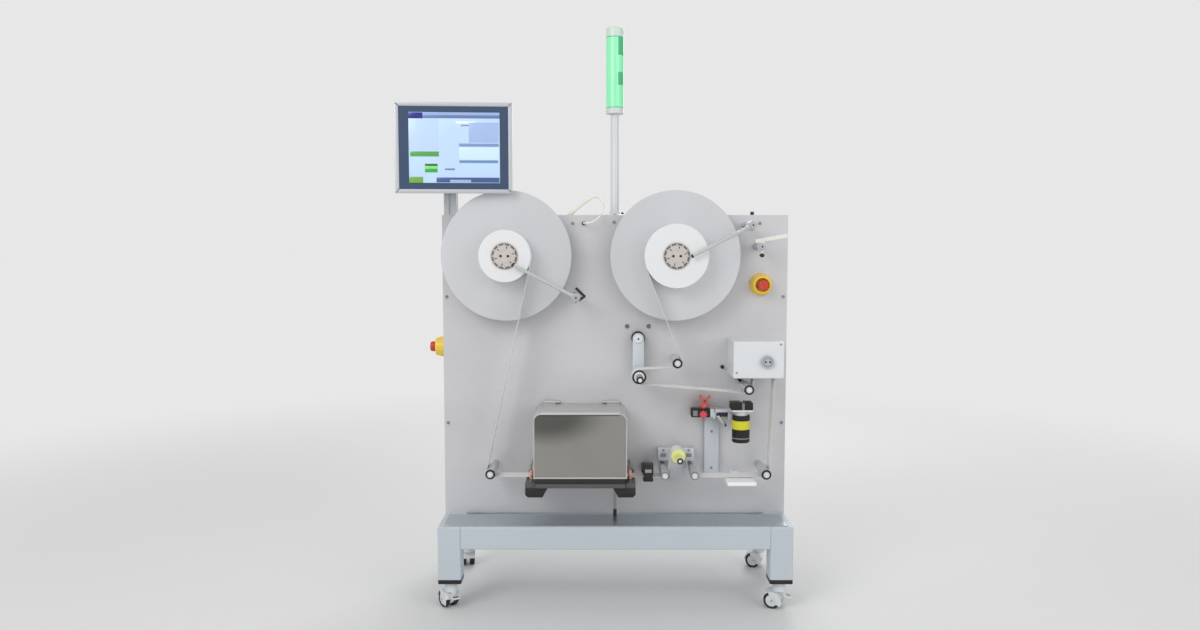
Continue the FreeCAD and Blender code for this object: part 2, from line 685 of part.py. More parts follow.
def door(side):
    """A folded door: outer skin with four returned edges, and its hinge knuckles."""
    inner = DOOR_GAP / 2
    x0, x1 = (inner, CABINET_HALF - DOOR_GAP) if side > 0 else (-CABINET_HALF + DOOR_GAP, -inner)
    y0 = CABINET_DOOR_Y
    y1 = y0 + DOOR_DEPTH
    shape = box(x0, x1, y0, y1, DOOR_Z0, DOOR_Z1)
    shape = shape.cut(box(x0 + DOOR_SHEET, x1 - DOOR_SHEET, y0 - 1, y1 - DOOR_SHEET,
                          DOOR_Z0 + DOOR_SHEET, DOOR_Z1 - DOOR_SHEET))
    px = hinge_x(side)
    edge = x1 if side > 0 else x0
    for z in KNUCKLE_HEIGHTS:
        inner = edge - side * LEAF_WIDTH
        leaf = box(min(inner, px), max(inner, px), y1, y1 + LEAF_THICK, z, z + KNUCKLE_LENGTH)
        knuckle = rod_z(px, DOOR_PIVOT_Y, KNUCKLE_RADIUS, z, z + KNUCKLE_LENGTH)
        shape = join(shape, leaf, knuckle)
        bore = rod_z(px, DOOR_PIVOT_Y, HINGE_PIN_RADIUS + SHAFT_FIT, z - 1, z + KNUCKLE_LENGTH + 1)
        shape = shape.cut(bore)
    if side > 0:
        shape = shape.cut(rod_y(HANDLE_AXIS, HANDLE_STEM_RADIUS + SHAFT_FIT, y1 - DOOR_SHEET - 1, y1 + 1))
    return shape


def door_handle():
    y1 = CABINET_DOOR_Y + DOOR_DEPTH
    y2 = y1 + HANDLE_REACH
    half = HANDLE_THICK / 2 + 2.0
    hub = rod_y(HANDLE_AXIS, 2 * HANDLE_STEM_RADIUS, y1 + GAP, y2)
    lever = box(HANDLE_AXIS[0] - half, HANDLE_AXIS[0] + half, y2, y2 + HANDLE_THICK,
                HANDLE_AXIS[1] - HANDLE_LENGTH, HANDLE_AXIS[1] + 2 * HANDLE_STEM_RADIUS)
    lever = round_edges(lever, 5.0, along_y)
    stem = rod_y(HANDLE_AXIS, HANDLE_STEM_RADIUS, y1 - DOOR_SHEET - 4.0, y1 + GAP)
    return join(hub, lever, stem)


def cabinet_fittings():
    """Faceplate screws, cable glands, thumb knobs, and the fixed halves of the door hinges."""
    solids = []
    for inset, drop in EDGE_SCREWS:
        for x in (LEFT_EDGE + inset, RIGHT_EDGE - inset):
            solids.append(rod_y((x, PLATE_TOP - drop), SCREW_RADIUS, -SCREW_HEAD, 0))
    for x, drop in TOP_SCREWS:
        solids.append(rod_y((x, PLATE_TOP - drop), SCREW_RADIUS, -SCREW_HEAD, 0))
    for side in (-1, 1):
        place = (DANCER_AXIS[0] + side * DANCER_STOP_SPACING / 2, DANCER_AXIS[1] + DANCER_STOP_RISE)
        solids.append(rod_y(place, SCREW_RADIUS + 2, -SCREW_HEAD, 0))
    gland = rod_z(CABLE_ROOF[0], CABLE_ROOF[1], GLAND_RADIUS, ROOF_TOP, ROOF_TOP + GLAND_HEIGHT)
    bend = V(CABLE_ROOF[0], CABLE_ROOF[1], ROOF_TOP + ELBOW_RISE)
    mouth = V(SLEEVE_ROUTE[0][0], SLEEVE_ROUTE[0][1], ROOF_TOP + SLEEVE_ROUTE[0][2])
    leaning = Part.makeCylinder(ELBOW_RADIUS, (mouth - bend).Length, bend, mouth - bend)
    solids.append(join(gland, leaning))
    entry = (CABLE_ENTRY[0], PLATE_TOP - CABLE_ENTRY[1])
    solids.append(rod_y(entry, ENTRY_RADIUS, -ENTRY_LENGTH, 0))
    knob = (METER_X0 - PLATE_KNOB_GAP, METER_Z0 + PLATE_KNOB_RISE)
    solids.append(rod_y(knob, KNOB_RADIUS, -KNOB_LENGTH, 0))
    roof_knob_x = RIGHT_EDGE - ROOF_KNOB_INSET
    solids.append(rod_z(roof_knob_x, ROOF_KNOB_BACK, KNOB_RADIUS, ROOF_TOP, ROOF_TOP + KNOB_LENGTH))
    for side in (-1, 1):
        px = hinge_x(side)
        face = side * CABINET_HALF
        for z in KNUCKLE_HEIGHTS:
            base = z - GAP - KNUCKLE_LENGTH
            leaf_front = CABINET_BACK - LEAF_LAP
            leaf = box(min(face, px), max(face, px), leaf_front, DOOR_PIVOT_Y, base, base + KNUCKLE_LENGTH)
            knuckle = rod_z(px, DOOR_PIVOT_Y, KNUCKLE_RADIUS, base, base + KNUCKLE_LENGTH)
            pin = rod_z(px, DOOR_PIVOT_Y, HINGE_PIN_RADIUS, base, z + KNUCKLE_LENGTH)
            solids.append(join(leaf, knuckle, pin))
    return group(*solids)


# Reels: boss, shaft and hub in one, the back disc, and the roll of web


def reel_hub(place):
    disc_front = -REEL_STANDOFF
    disc_back = disc_front + REEL_DISC_THICK
    hub = rod_y(place, HUB_RADIUS, disc_front - HUB_LENGTH, disc_front)
    face = disc_front - HUB_LENGTH
    hub = hub.cut(rod_y(place, HUB_RADIUS - 9.0, face, face + 3.0))
    hub = join(hub, rod_y(place, HUB_RADIUS - 14.0, face, face + 3.0))
    for side in (-1, 1):
        hub = hub.cut(rod_y((place[0] + side * 11.0, place[1]), 4.0, face, face + 8.0))
    shaft = rod_y(place, REEL_SHAFT_RADIUS, disc_front, PLATE_THICK + REEL_SHAFT_BACK - GAP)
    boss = rod_y(place, REEL_BOSS_RADIUS, disc_back, -FLANGE_THICK - GAP)
    return join(hub, shaft, boss)


def reel_disc(place):
    front = -REEL_STANDOFF
    disc = rod_y(place, REEL_DISC_RADIUS, front, front + REEL_DISC_THICK)
    return disc.cut(rod_y(place, REEL_SHAFT_RADIUS + SHAFT_FIT, front, front + REEL_DISC_THICK))


def web_roll(place, radius):
    """The wound web and the core it is wound on."""
    front = -WEB_FRONT
    roll = rod_y(place, radius, front, -WEB_BACK)
    core = rod_y(place, HUB_RADIUS + CORE_WALL, front - 1.0, -REEL_STANDOFF)
    return join(roll, core).cut(rod_y(place, HUB_RADIUS + GAP, front - 2.0, 0))


# Rollers


def idler_pin(place):
    """A fixed shaft on the faceplate: spacer, pin and the collar that keeps the roller on."""
    spacer = rod_y(place, PIN_SPACER_RADIUS, -ROLLER_BACK, 0)
    end = ROLLER_FRONT + GAP + PIN_COLLAR_THICK + PIN_NOSE
    pin = rod_y(place, IDLER_PIN_RADIUS, -end, 0)
    collar = rod_y(place, PIN_COLLAR_RADIUS, -ROLLER_FRONT - GAP - PIN_COLLAR_THICK, -ROLLER_FRONT - GAP)
    return join(spacer, pin, collar)


def roller(place, radius):
    tube = rod_y(place, radius, -ROLLER_FRONT, -ROLLER_BACK - GAP)
    return tube.cut(rod_y(place, IDLER_PIN_RADIUS + SHAFT_FIT, -ROLLER_FRONT, 0))


def dancer_arm():
    """Shaft, arm, hub cap and the pin that the roller turns on."""
    y1 = -DANCER_HOUSING_LENGTH - GAP
    y0 = y1 - DANCER_ARM_THICK
    half = DANCER_ARM_WIDTH / 2
    arm = box(DANCER_AXIS[0] - half, DANCER_AXIS[0] + half, y0, y1, DANCER_ROLLER[1], DANCER_AXIS[1])
    arm = join(arm, rod_y(DANCER_AXIS, half, y0, y1), rod_y(DANCER_ROLLER, half, y0, y1))
    ring = rod_y(DANCER_AXIS, DANCER_CAP_RADIUS, y0 - DANCER_CAP_THICK, y0)
    shaft = rod_y(DANCER_AXIS, DANCER_SHAFT_RADIUS, y1, PLATE_THICK)
    keeper = rod_y(DANCER_AXIS, DANCER_SHAFT_RADIUS + 6.0, PLATE_THICK + GAP, PLATE_THICK + 8.0)
    tail = rod_y(DANCER_AXIS, DANCER_SHAFT_RADIUS, PLATE_THICK, PLATE_THICK + GAP)
    pin = rod_y(DANCER_ROLLER, DANCER_PIN_RADIUS, -WEB_FRONT - GAP, y0)
    step = rod_y(DANCER_ROLLER, DANCER_PIN_RADIUS + 3.0, -ROLLER_BACK, y0)
    nose = rod_y(DANCER_ROLLER, DANCER_NOSE_RADIUS, -DANCER_NOSE_END, -WEB_FRONT - GAP)
    return join(arm, ring, shaft, tail, keeper, pin, step, nose)


def dancer_roller():
    tube = rod_y(DANCER_ROLLER, DANCER_ROLLER_RADIUS, -WEB_FRONT, -ROLLER_BACK - GAP)
    return tube.cut(rod_y(DANCER_ROLLER, DANCER_PIN_RADIUS + SHAFT_FIT, -WEB_FRONT, 0))


def capstan():
    covering = rod_y(CAPSTAN_AXIS, CAPSTAN_RADIUS, -WEB_FRONT, -ROLLER_BACK)
    shaft = rod_y(CAPSTAN_AXIS, CAPSTAN_SHAFT_RADIUS, -CAPSTAN_NOSE_END, PLATE_THICK + REEL_SHAFT_BACK - GAP)
    return join(covering, shaft)


def capstan_block():
    """The pale bearing block behind the capstan and its foot."""
    x, z = CAPSTAN_AXIS
    half = CAPSTAN_BLOCK_WIDTH / 2
    z0 = z - CAPSTAN_BLOCK_HEIGHT + 6.0
    block = box(x - half, x + half, -CAPSTAN_BLOCK_THICK, 0, z0, z0 + CAPSTAN_BLOCK_HEIGHT)
    block = round_edges(block, 5.0, along_y)
    nose = rod_y(CAPSTAN_AXIS, CAPSTAN_SHAFT_RADIUS + 8.0, -ROLLER_BACK + GAP, 0)
    foot = box(x - CAPSTAN_FOOT_WIDTH / 2, x + CAPSTAN_FOOT_WIDTH / 2, -CAPSTAN_BLOCK_THICK, 0,
               z0 - CAPSTAN_FOOT_HEIGHT, z0)
    bore = rod_y(CAPSTAN_AXIS, CAPSTAN_SHAFT_RADIUS + SHAFT_FIT, -ROLLER_BACK, 0)
    return join(block, nose, foot).cut(bore)


def metering_box():
    """Box body with a slot below for the web, and the lid over it."""
    front = -METER_DEPTH
    body = box(METER_X0, METER_X1, front, 0, METER_Z0, METER_Z1)
    body = round_edges(body, 4.0, along_y)
    body = body.cut(box(METER_X0 + METER_WALL, METER_X1 - METER_WALL, front, -METER_WALL,
                        METER_Z0 + METER_WALL, METER_Z1 - METER_WALL))
    slot = box(METER_ROLLER[0] - METER_SLOT_WIDTH / 2, METER_X1 - METER_WALL, front - METER_LID + METER_WALL,
               -WEB_BACK + 6.0, METER_Z0 - 1.0, METER_Z0 + METER_WALL)
    body = body.cut(slot)
    body = body.cut(rod_y(METER_ROLLER, METER_SHAFT_RADIUS + 7.0, -METER_WALL, 0))
    lid = box(METER_X0, METER_X1, front - METER_LID, front, METER_Z0, METER_Z1)
    lid = round_edges(lid, 4.0, lambda a, b: along_y(a, b) or (a.y < front - 1 and b.y < front - 1))
    lid = lid.cut(box(METER_X0 + METER_WALL, METER_X1 - METER_WALL, front - METER_LID + METER_WALL, front,
                      METER_Z0 + METER_WALL, METER_Z1 - METER_WALL))
    lid = lid.cut(rod_y(METER_ROLLER, METER_SHAFT_RADIUS + GAP, front - METER_LID, front)).cut(slot)
    return group(body, lid)


def metering_roller():
    """The roller that the web turns, its shaft and the knob in front of the lid."""
    lid_front = -METER_DEPTH - METER_LID
    tube = rod_y(METER_ROLLER, METER_ROLLER_RADIUS, -WEB_FRONT - 2.0, -ROLLER_BACK)
    shaft = rod_y(METER_ROLLER, METER_SHAFT_RADIUS, lid_front - GAP, -PLATE_THICK)
    knob = rod_y(METER_ROLLER, METER_KNOB_RADIUS, lid_front - GAP - METER_KNOB_THICK, lid_front - GAP)
    return join(tube, shaft, knob)


def idler_strut():
    """A flat strut from the underside of the metering box to the upper idler's spacer."""
    half = STRUT_WIDTH / 2
    x = METER_X0 + STRUT_INSET
    foot = [(x, METER_Z0), (x + 2 * half, METER_Z0)]
    points = foot + [(UPPER[0] + half, UPPER[1]), (UPPER[0] - half, UPPER[1])]
    return prism_y(points, -STRUT_BACK - STRUT_THICK, -STRUT_BACK)


def fixed_shafts():
    """Idler pins, reel flanges, dancer and metering housings, keeper posts, hood hinge pins."""
    solids = [idler_pin(p) for p in (UNWIND, INFEED, OUTFEED, GUIDE_LEFT, GUIDE_RIGHT)]
    solids.append(join(idler_pin(UPPER), idler_strut()))
    for reel in (SUPPLY_REEL, REWIND_REEL):
        flange = rod_y(reel, FLANGE_RADIUS, -FLANGE_THICK, 0)
        solids.append(flange.cut(rod_y(reel, REEL_SHAFT_RADIUS + SHAFT_FIT, -FLANGE_THICK, 0)))
    housing = rod_y(DANCER_AXIS, DANCER_HOUSING_RADIUS, -DANCER_HOUSING_LENGTH, 0)
    bore = rod_y(DANCER_AXIS, DANCER_SHAFT_RADIUS + SHAFT_FIT, -DANCER_HOUSING_LENGTH, 0)
    solids.append(housing.cut(bore))
    boss = rod_y(METER_ROLLER, METER_SHAFT_RADIUS + 6.0, -ROLLER_BACK + GAP, 0)
    solids.append(boss.cut(rod_y(METER_ROLLER, METER_SHAFT_RADIUS + SHAFT_FIT, -ROLLER_BACK, -PLATE_THICK)))
    for place, plane, length in ((REWIND_KEEPER, KEEPER_PLANE, KEEPER_CLAMP_LENGTH),
                                 (SUPPLY_KEEPER, KEEPER_PLANE, KEEPER_CLAMP_LENGTH),
                                 (EDGE_ARM, EDGE_ARM_PLANE, EDGE_ARM_THICK)):
        foot = rod_y(place, KEEPER_FOOT_RADIUS, -KEEPER_FOOT_LENGTH, 0)
        shoulder = rod_y(place, KEEPER_POST_RADIUS + 3.0, -plane + length / 2 + GAP, 0)
        post = rod_y(place, KEEPER_POST_RADIUS, -plane - length / 2 - GAP, 0)
        nose = -plane - length / 2
        cap = rod_y(place, KEEPER_POST_RADIUS + KEEPER_CAP_LIP, nose - KEEPER_CAP, nose - GAP)
        solids.append(join(foot, shoulder, post, cap))
    for x in hood_knuckles():
        y, z = HOOD_PIVOT
        outer = x - math.copysign(HOOD_KNUCKLE_LENGTH / 2, x - STATION_CENTRE)
        side = math.copysign(1, x - STATION_CENTRE)
        inner_end = outer - side * GAP
        block_end = inner_end - side * 12.0
        ends = sorted((inner_end, block_end))
        block = box(ends[0], ends[1], y, 0, z - KNUCKLE_RADIUS, z + KNUCKLE_RADIUS)
        eye = rod_x(y, z, KNUCKLE_RADIUS, min(inner_end, block_end), max(inner_end, block_end))
        pin = rod_x(y, z, HINGE_PIN_RADIUS, min(block_end, outer + side * HOOD_KNUCKLE_LENGTH),
                    max(block_end, outer + side * HOOD_KNUCKLE_LENGTH))
        solids.append(join(block, eye, pin))
    return group(*solids)


# Print station


def print_station():
    """Table, its black edge, end brackets, platen, coder body, edge guides and the post to the deck."""
    table = box(STATION_X0, STATION_X1, -TABLE_DEPTH, 0, TABLE_Z, TABLE_TOP)
    edge = box(STATION_X0, STATION_X1, -TABLE_DEPTH - TABLE_EDGE_THICK, -TABLE_DEPTH,
               TABLE_Z + 2.0, TABLE_TOP + TABLE_EDGE_HEIGHT - 2.0)
    platen = box(STATION_CENTRE - PLATEN_WIDTH / 2, STATION_CENTRE + PLATEN_WIDTH / 2,
                 -WEB_FRONT - 4.0, -WEB_BACK + 4.0, TABLE_TOP, TABLE_TOP + PLATEN_HEIGHT)
    solids = [table, edge, platen]
    for side in (-1, 1):
        outer = STATION_CENTRE + side * (STATION_WIDTH / 2 + BRACKET_OVERHANG)
        inner = outer - side * BRACKET_WIDTH
        low = TABLE_Z - BRACKET_HEIGHT
        points = [(outer, TABLE_Z), (outer, low + 8.0), (outer - side * 8.0, low),
                  (inner + side * 16.0, low), (inner, TABLE_Z)]
        solids.append(prism_y(points, -TABLE_DEPTH + 4.0, 0))
        x0, x1 = sorted((STATION_CENTRE + side * (STATION_WIDTH / 2), outer))
        solids.append(box(x0, x1, -TABLE_DEPTH + 4.0, 0, TABLE_Z, TABLE_TOP - 1.0))
        x = (x0 + x1) / 2
        for y in (-WEB_FRONT - GUIDE_COLLAR_RADIUS - GAP, -WEB_BACK + GUIDE_COLLAR_RADIUS + GAP):
            base = TABLE_TOP - 1.0
            post = rod_z(x, y, GUIDE_POST_RADIUS, base, base + GUIDE_POST_HEIGHT)
            collar = rod_z(x, y, GUIDE_COLLAR_RADIUS, base, base + GUIDE_COLLAR_HEIGHT)
            solids.append(join(post, collar))
    coder_z = PLATE_BOTTOM + CODER_RISE
    coder = box(STATION_CENTRE - CODER_WIDTH / 2, STATION_CENTRE + CODER_WIDTH / 2, -CODER_DEPTH, 0,
                coder_z, coder_z + CODER_HEIGHT)
    coder = coder.cut(rod_z(STATION_CENTRE, -(WEB_FRONT + WEB_BACK) / 2, HEAD_ROD_RADIUS + SHAFT_FIT,
                            coder_z - 1, coder_z + HEAD_ROD_LENGTH + 2))
    solids.append(coder)
    under_bracket = STATION_POST_X > STATION_X1 + BRACKET_OVERHANG - BRACKET_WIDTH
    low = TABLE_Z - BRACKET_HEIGHT if under_bracket else TABLE_Z
    tail = FRAME_TOP - STATION_POST_TAIL
    post = rod_z(STATION_POST_X, -STATION_POST_BACK, STATION_POST_RADIUS, tail, low)
    nut_base = FRAME_TOP - STATION_NUT_THICK
    nut = rod_z(STATION_POST_X, -STATION_POST_BACK, STATION_NUT_RADIUS, nut_base, FRAME_TOP)
    solids.append(join(post, nut))
    return group(*solids)


def print_head():
    """The head block under the coder and the rod that it rides on."""
    y0 = -WEB_FRONT
    y1 = -WEB_BACK
    low = TABLE_TOP + PLATEN_HEIGHT + WEB_THICK + HEAD_STROKE + 4.0
    block = box(STATION_CENTRE - HEAD_WIDTH / 2, STATION_CENTRE + HEAD_WIDTH / 2, y0, y1, low,
                low + HEAD_HEIGHT)
    rod = rod_z(STATION_CENTRE, (y0 + y1) / 2, HEAD_ROD_RADIUS, low + HEAD_HEIGHT,
                PLATE_BOTTOM + CODER_RISE + HEAD_ROD_LENGTH)
    return join(block, rod)


def hood_knuckles():
    return (STATION_CENTRE - HOOD_KNUCKLE_SPACING / 2, STATION_CENTRE + HOOD_KNUCKLE_SPACING / 2)


def hood():
    """A stainless cover, open below and behind, with a recessed front and two hinge knuckles."""
    x0 = STATION_CENTRE - HOOD_WIDTH / 2
    x1 = STATION_CENTRE + HOOD_WIDTH / 2
    front = -HOOD_DEPTH
    back = -HOOD_BACK_GAP
    top_edge = lambda a, b: along_y(a, b) and a.z > (HOOD_Z0 + HOOD_Z1) / 2
    shell = round_edges(box(x0, x1, front, back, HOOD_Z0, HOOD_Z1), HOOD_CORNER, top_edge)
    inside = box(x0 + HOOD_WALL, x1 - HOOD_WALL, front + HOOD_FRONT_WALL, back + 1,
                 HOOD_Z0 - 1, HOOD_Z1 - HOOD_WALL)
    inside = round_edges(inside, HOOD_CORNER - HOOD_WALL, top_edge)
    recess = box(x0 + HOOD_RIM, x1 - HOOD_RIM, front, front + HOOD_RECESS,
                 HOOD_Z0 + HOOD_RIM, HOOD_Z1 - HOOD_RIM)
    recess = round_edges(recess, HOOD_CORNER - HOOD_RIM, top_edge)
    shell = shell.cut(inside).cut(recess)
    y, z = HOOD_PIVOT
    for x in hood_knuckles():
        a = x - HOOD_KNUCKLE_LENGTH / 2
        b = x + HOOD_KNUCKLE_LENGTH / 2
        leaf = box(a, b, y - 20.0, y, HOOD_Z1, HOOD_Z1 + 2.0)
        shell = join(shell, leaf, rod_x(y, z, HOOD_PIVOT_RISE, a, b))
        shell = shell.cut(rod_x(y, z, HINGE_PIN_RADIUS + SHAFT_FIT, a - 1, b + 1))
    return shell


def fork_sensor():
    """A fork that the web runs through."""
    z0 = PLATE_BOTTOM + FORK_RISE
    x0 = FORK_X - FORK_WIDTH / 2
    x1 = FORK_X + FORK_WIDTH / 2
    body = box(x0, x1, -FORK_DEPTH, 0, z0, z0 + FORK_HEIGHT)
    head = box(x0, x1, -FORK_DEPTH, -FORK_DEPTH + FORK_HEAD_DEPTH, z0, z0 + FORK_HEAD_HEIGHT)
    slot_z = z0 + FORK_SLOT_RISE
    slot = box(x0 - 1, x1 + 1, -FORK_DEPTH - 1, -FORK_BACK, slot_z, slot_z + FORK_SLOT)
    return join(body, head).cut(slot)


# Inspection stand and camera


def inspection_stand():
    """White plate under the web on its arm, and the camera's post on its standoffs."""
    x1 = RIGHT_EDGE - PLAQUE_RIGHT_INSET
    x0 = x1 - PLAQUE_WIDTH
    top = PLATE_BOTTOM + PLAQUE_RISE
    plaque = box(x0, x1, -PLAQUE_FRONT, -PLAQUE_BACK, top - PLAQUE_THICK, top)
    plaque = round_edges(plaque, 3.0, along_z)
    middle = (x0 + x1) / 2
    arm = box(middle - PLAQUE_ARM_WIDTH / 2, middle + PLAQUE_ARM_WIDTH / 2, -PLAQUE_BACK, 0,
              top - PLAQUE_THICK, top - PLAQUE_THICK + PLAQUE_ARM_THICK)
    px0 = POST_X - POST_WIDTH / 2
    px1 = POST_X + POST_WIDTH / 2
    z0 = PLATE_BOTTOM + POST_RISE
    z1 = z0 + POST_HEIGHT
    outline = [(px0, z0), (px1, z0), (px1, z1 - POST_CHAMFER), (px1 - POST_CHAMFER, z1), (px0, z1)]
    post = prism_y(outline, -POST_STANDOFF - POST_THICK, -POST_STANDOFF)
    for z in (z0 + 20.0, z1 - 30.0):
        post = join(post, rod_y((POST_X, z), 8.0, -POST_STANDOFF, 0))
    return group(join(plaque, arm), post)


def camera_head():
    """Clamp on the post with its knob and lever, arm, camera block and camera."""
    back = -POST_STANDOFF - POST_THICK
    front = back - CLAMP_DEPTH
    z0 = PLATE_BOTTOM + CLAMP_RISE
    z1 = z0 + CLAMP_HEIGHT
    mid_z = (z0 + z1) / 2
    clamp = box(CLAMP_LEFT, CLAMP_LEFT + CLAMP_WIDTH, front, back, z0, z1)
    knob_place = (POST_X - POST_WIDTH / 2 - CLAMP_KNOB_OFFSET, mid_z)
    knob = rod_y(knob_place, CLAMP_KNOB_RADIUS, front - CLAMP_KNOB_LENGTH, front)
    lever_x = CLAMP_LEFT + CLAMP_LEVER_INSET
    hub = rod_z(lever_x, (front + back) / 2, 8.0, z1, z1 + 16.0)
    lever = box(lever_x - 5.0, lever_x + 5.0, front - 12.0, (front + back) / 2, z1 + 8.0, z1 + 16.0)
    arm_y = (front + back) / 2
    arm = rod_x(arm_y, mid_z, CAMERA_ARM_RADIUS, lever_x, max(CLAMP_LEFT + CLAMP_WIDTH, CAMERA_X))
    low = PLATE_BOTTOM + CAMERA_BOTTOM_RISE
    body_top = low + CAMERA_BODY_HEIGHT
    camera = rod_z(CAMERA_X, -CAMERA_Y, CAMERA_RADIUS, low, body_top)
    neck = rod_z(CAMERA_X, -CAMERA_Y, CAMERA_NECK_RADIUS, body_top, body_top + 12.0)
    block_z = body_top + 12.0
    block = box(CAMERA_X - CAMERA_BLOCK_WIDTH / 2, CAMERA_X + CAMERA_BLOCK_WIDTH / 2,
                -CAMERA_Y - CAMERA_BLOCK_DEPTH / 2, -CAMERA_Y + CAMERA_BLOCK_DEPTH / 2,
                block_z, block_z + CAMERA_BLOCK_HEIGHT)
    link = box(CAMERA_X - 16.0, CAMERA_X + 16.0, -CAMERA_Y + CAMERA_BLOCK_DEPTH / 2, arm_y + 12.0,
               mid_z - 12.0, block_z + 14.0)
    return join(clamp, knob, hub, lever, arm, link, camera, neck, block)


# Keeper arms


def keeper(place, reach, plane, length):
    """A clamp ring on its post and the rod that crosses the roll."""
    ring = rod_y(place, KEEPER_CLAMP_RADIUS, -plane - length / 2, -plane + length / 2)
    end = V(place[0] + reach[0], -plane, place[1] + reach[1])
    start = V(place[0], -plane, place[1])
    direction = end - start
    rod = Part.makeCylinder(KEEPER_ROD_RADIUS, direction.Length, start, direction)
    tip = Part.makeSphere(KEEPER_ROD_RADIUS, end)
    bore = rod_y(place, KEEPER_POST_RADIUS + SHAFT_FIT, -plane - length, -plane + length)
    return join(ring, rod, tip), bore


def rewind_keeper():
    reach = (-REWIND_KEEPER_REACH[0], REWIND_KEEPER_REACH[1])
    shape, bore = keeper(REWIND_KEEPER, reach, KEEPER_PLANE, KEEPER_CLAMP_LENGTH)
    x, z = REWIND_KEEPER
    corner = V(x + 26.0, -KEEPER_PLANE, z + 4.0)
    top = corner + V(-KEEPER_LEVER_LONG * 0.72, 0, KEEPER_LEVER_LONG * 0.69)
    foot = V(x + 8.0, -KEEPER_PLANE, z - 8.0)
    lever = Part.makeCylinder(KEEPER_LEVER_RADIUS, (top - corner).Length, corner, top - corner)
    shank = Part.makeCylinder(KEEPER_LEVER_RADIUS, (corner - foot).Length, foot, corner - foot)
    elbow = Part.makeSphere(KEEPER_LEVER_RADIUS, corner)
    return join(shape, lever, shank, elbow).cut(bore)


def supply_keeper():
    reach = (-SUPPLY_KEEPER_REACH[0], -SUPPLY_KEEPER_REACH[1])
    shape, bore = keeper(SUPPLY_KEEPER, reach, KEEPER_PLANE, KEEPER_CLAMP_LENGTH)
    return shape.cut(bore)


def edge_arm():
    """The short third arm: a ring, a bar above it and a thumb knob below."""
    x, z = EDGE_ARM
    y0 = -EDGE_ARM_PLANE - EDGE_ARM_THICK / 2
    y1 = -EDGE_ARM_PLANE + EDGE_ARM_THICK / 2
    ring = rod_y(EDGE_ARM, KEEPER_CLAMP_RADIUS, y0, y1)
    bar = Part.makeBox(EDGE_ARM_LENGTH, EDGE_ARM_THICK, EDGE_ARM_THICK,
                       V(x - EDGE_ARM_TAIL, y0, z + EDGE_ARM_LIFT - EDGE_ARM_THICK / 2))
    bar.rotate(V(x - EDGE_ARM_TAIL, 0, z + EDGE_ARM_LIFT), V(0, -1, 0), EDGE_ARM_ANGLE)
    link = box(x - 8.0, x + 8.0, y0, y1, z, z + EDGE_ARM_LIFT)
    stalk = box(x - 4.0, x + 4.0, y0, y1, z - EDGE_KNOB_DROP, z)
    knob = rod_y((x, z - EDGE_KNOB_DROP), EDGE_KNOB_RADIUS, y0 - 10.0, y1)
    bore = rod_y(EDGE_ARM, KEEPER_POST_RADIUS + SHAFT_FIT, y0 - 1, y1 + 1)
    return join(ring, bar, link, stalk, knob).cut(bore)


# Emergency stops, drawn along +Z and then turned to face out


def facing(shape, place, direction):
    """Turns a shape drawn along +Z to stand out of a face at a place."""
    shape = shape.copy()
    turn = FreeCAD.Rotation(V(0, 0, 1), direction)
    shape.Placement = FreeCAD.Placement(place, turn)
    return shape


def stop_shroud(place, direction):
    cone = Part.makeCone(SHROUD_RADIUS, SHROUD_TIP_RADIUS, SHROUD_HEIGHT)
    cone = cone.cut(rod_z(0, 0, SHROUD_BORE_RADIUS, SHROUD_FLOOR, SHROUD_HEIGHT + 1))
    cone = cone.cut(rod_z(0, 0, STOP_STEM_RADIUS + SHAFT_FIT, -1, SHROUD_FLOOR + 1))
    return facing(cone, place, direction)


def stop_button(place, direction):
    head = rod_z(0, 0, STOP_HEAD_RADIUS, STOP_REACH - STOP_HEAD_THICK, STOP_REACH)
    rim = [e for e in head.Edges if len(e.Vertexes) == 1 and e.BoundBox.ZMin > STOP_REACH - 1]
    head = head.makeFillet(5.0, rim)
    stem = rod_z(0, 0, STOP_STEM_RADIUS, -STOP_STEM_BACK, STOP_REACH - STOP_HEAD_THICK)
    return facing(join(head, stem), place, direction)


STOP_FRONT_PLACE = V(STOP_FRONT[0], 0, STOP_FRONT[1])
STOP_SIDE_PLACE = V(-CABINET_HALF, STOP_SIDE[0], STOP_SIDE[1])


# Operator panel


def hmi_post():
    """Grooved aluminium post on a foot plate, with the pin that the bracket turns on."""
    x, y = HMI_AXIS
    half = HMI_POST_SIZE / 2
    z0 = ROOF_TOP + HMI_FOOT_THICK
    z1 = ROOF_TOP + HMI_POST_HEIGHT
    post = round_edges(box(x - half, x + half, y - half, y + half, z0, z1), 2.0, along_z)
    g = HMI_GROOVE / 2
    d = HMI_GROOVE_DEPTH
    post = post.cut(box(x - g, x + g, y - half, y - half + d, z0, z1))
    post = post.cut(box(x - g, x + g, y + half - d, y + half, z0, z1))
    post = post.cut(box(x - half, x - half + d, y - g, y + g, z0, z1))
    post = post.cut(box(x + half - d, x + half, y - g, y + g, z0, z1))
    foot_half = HMI_FOOT_SIZE / 2
    foot_x0 = max(x - foot_half, -CABINET_HALF + 1.0)
    foot = box(foot_x0, x + foot_half, y - half - 4.0, y + foot_half, ROOF_TOP, z0)
    pin = rod_z(x, y, HMI_PIN_RADIUS, z1, z1 + HMI_HUB_HEIGHT + GAP)
    return join(post, foot, pin)


def turned(shape):
    """Turns the panel and its bracket a little about the post, as they stand in use."""
    shape = shape.copy()
    shape.rotate(V(HMI_AXIS[0], HMI_AXIS[1], 0), V(0, 0, 1), HMI_REST_TURN)
    return shape


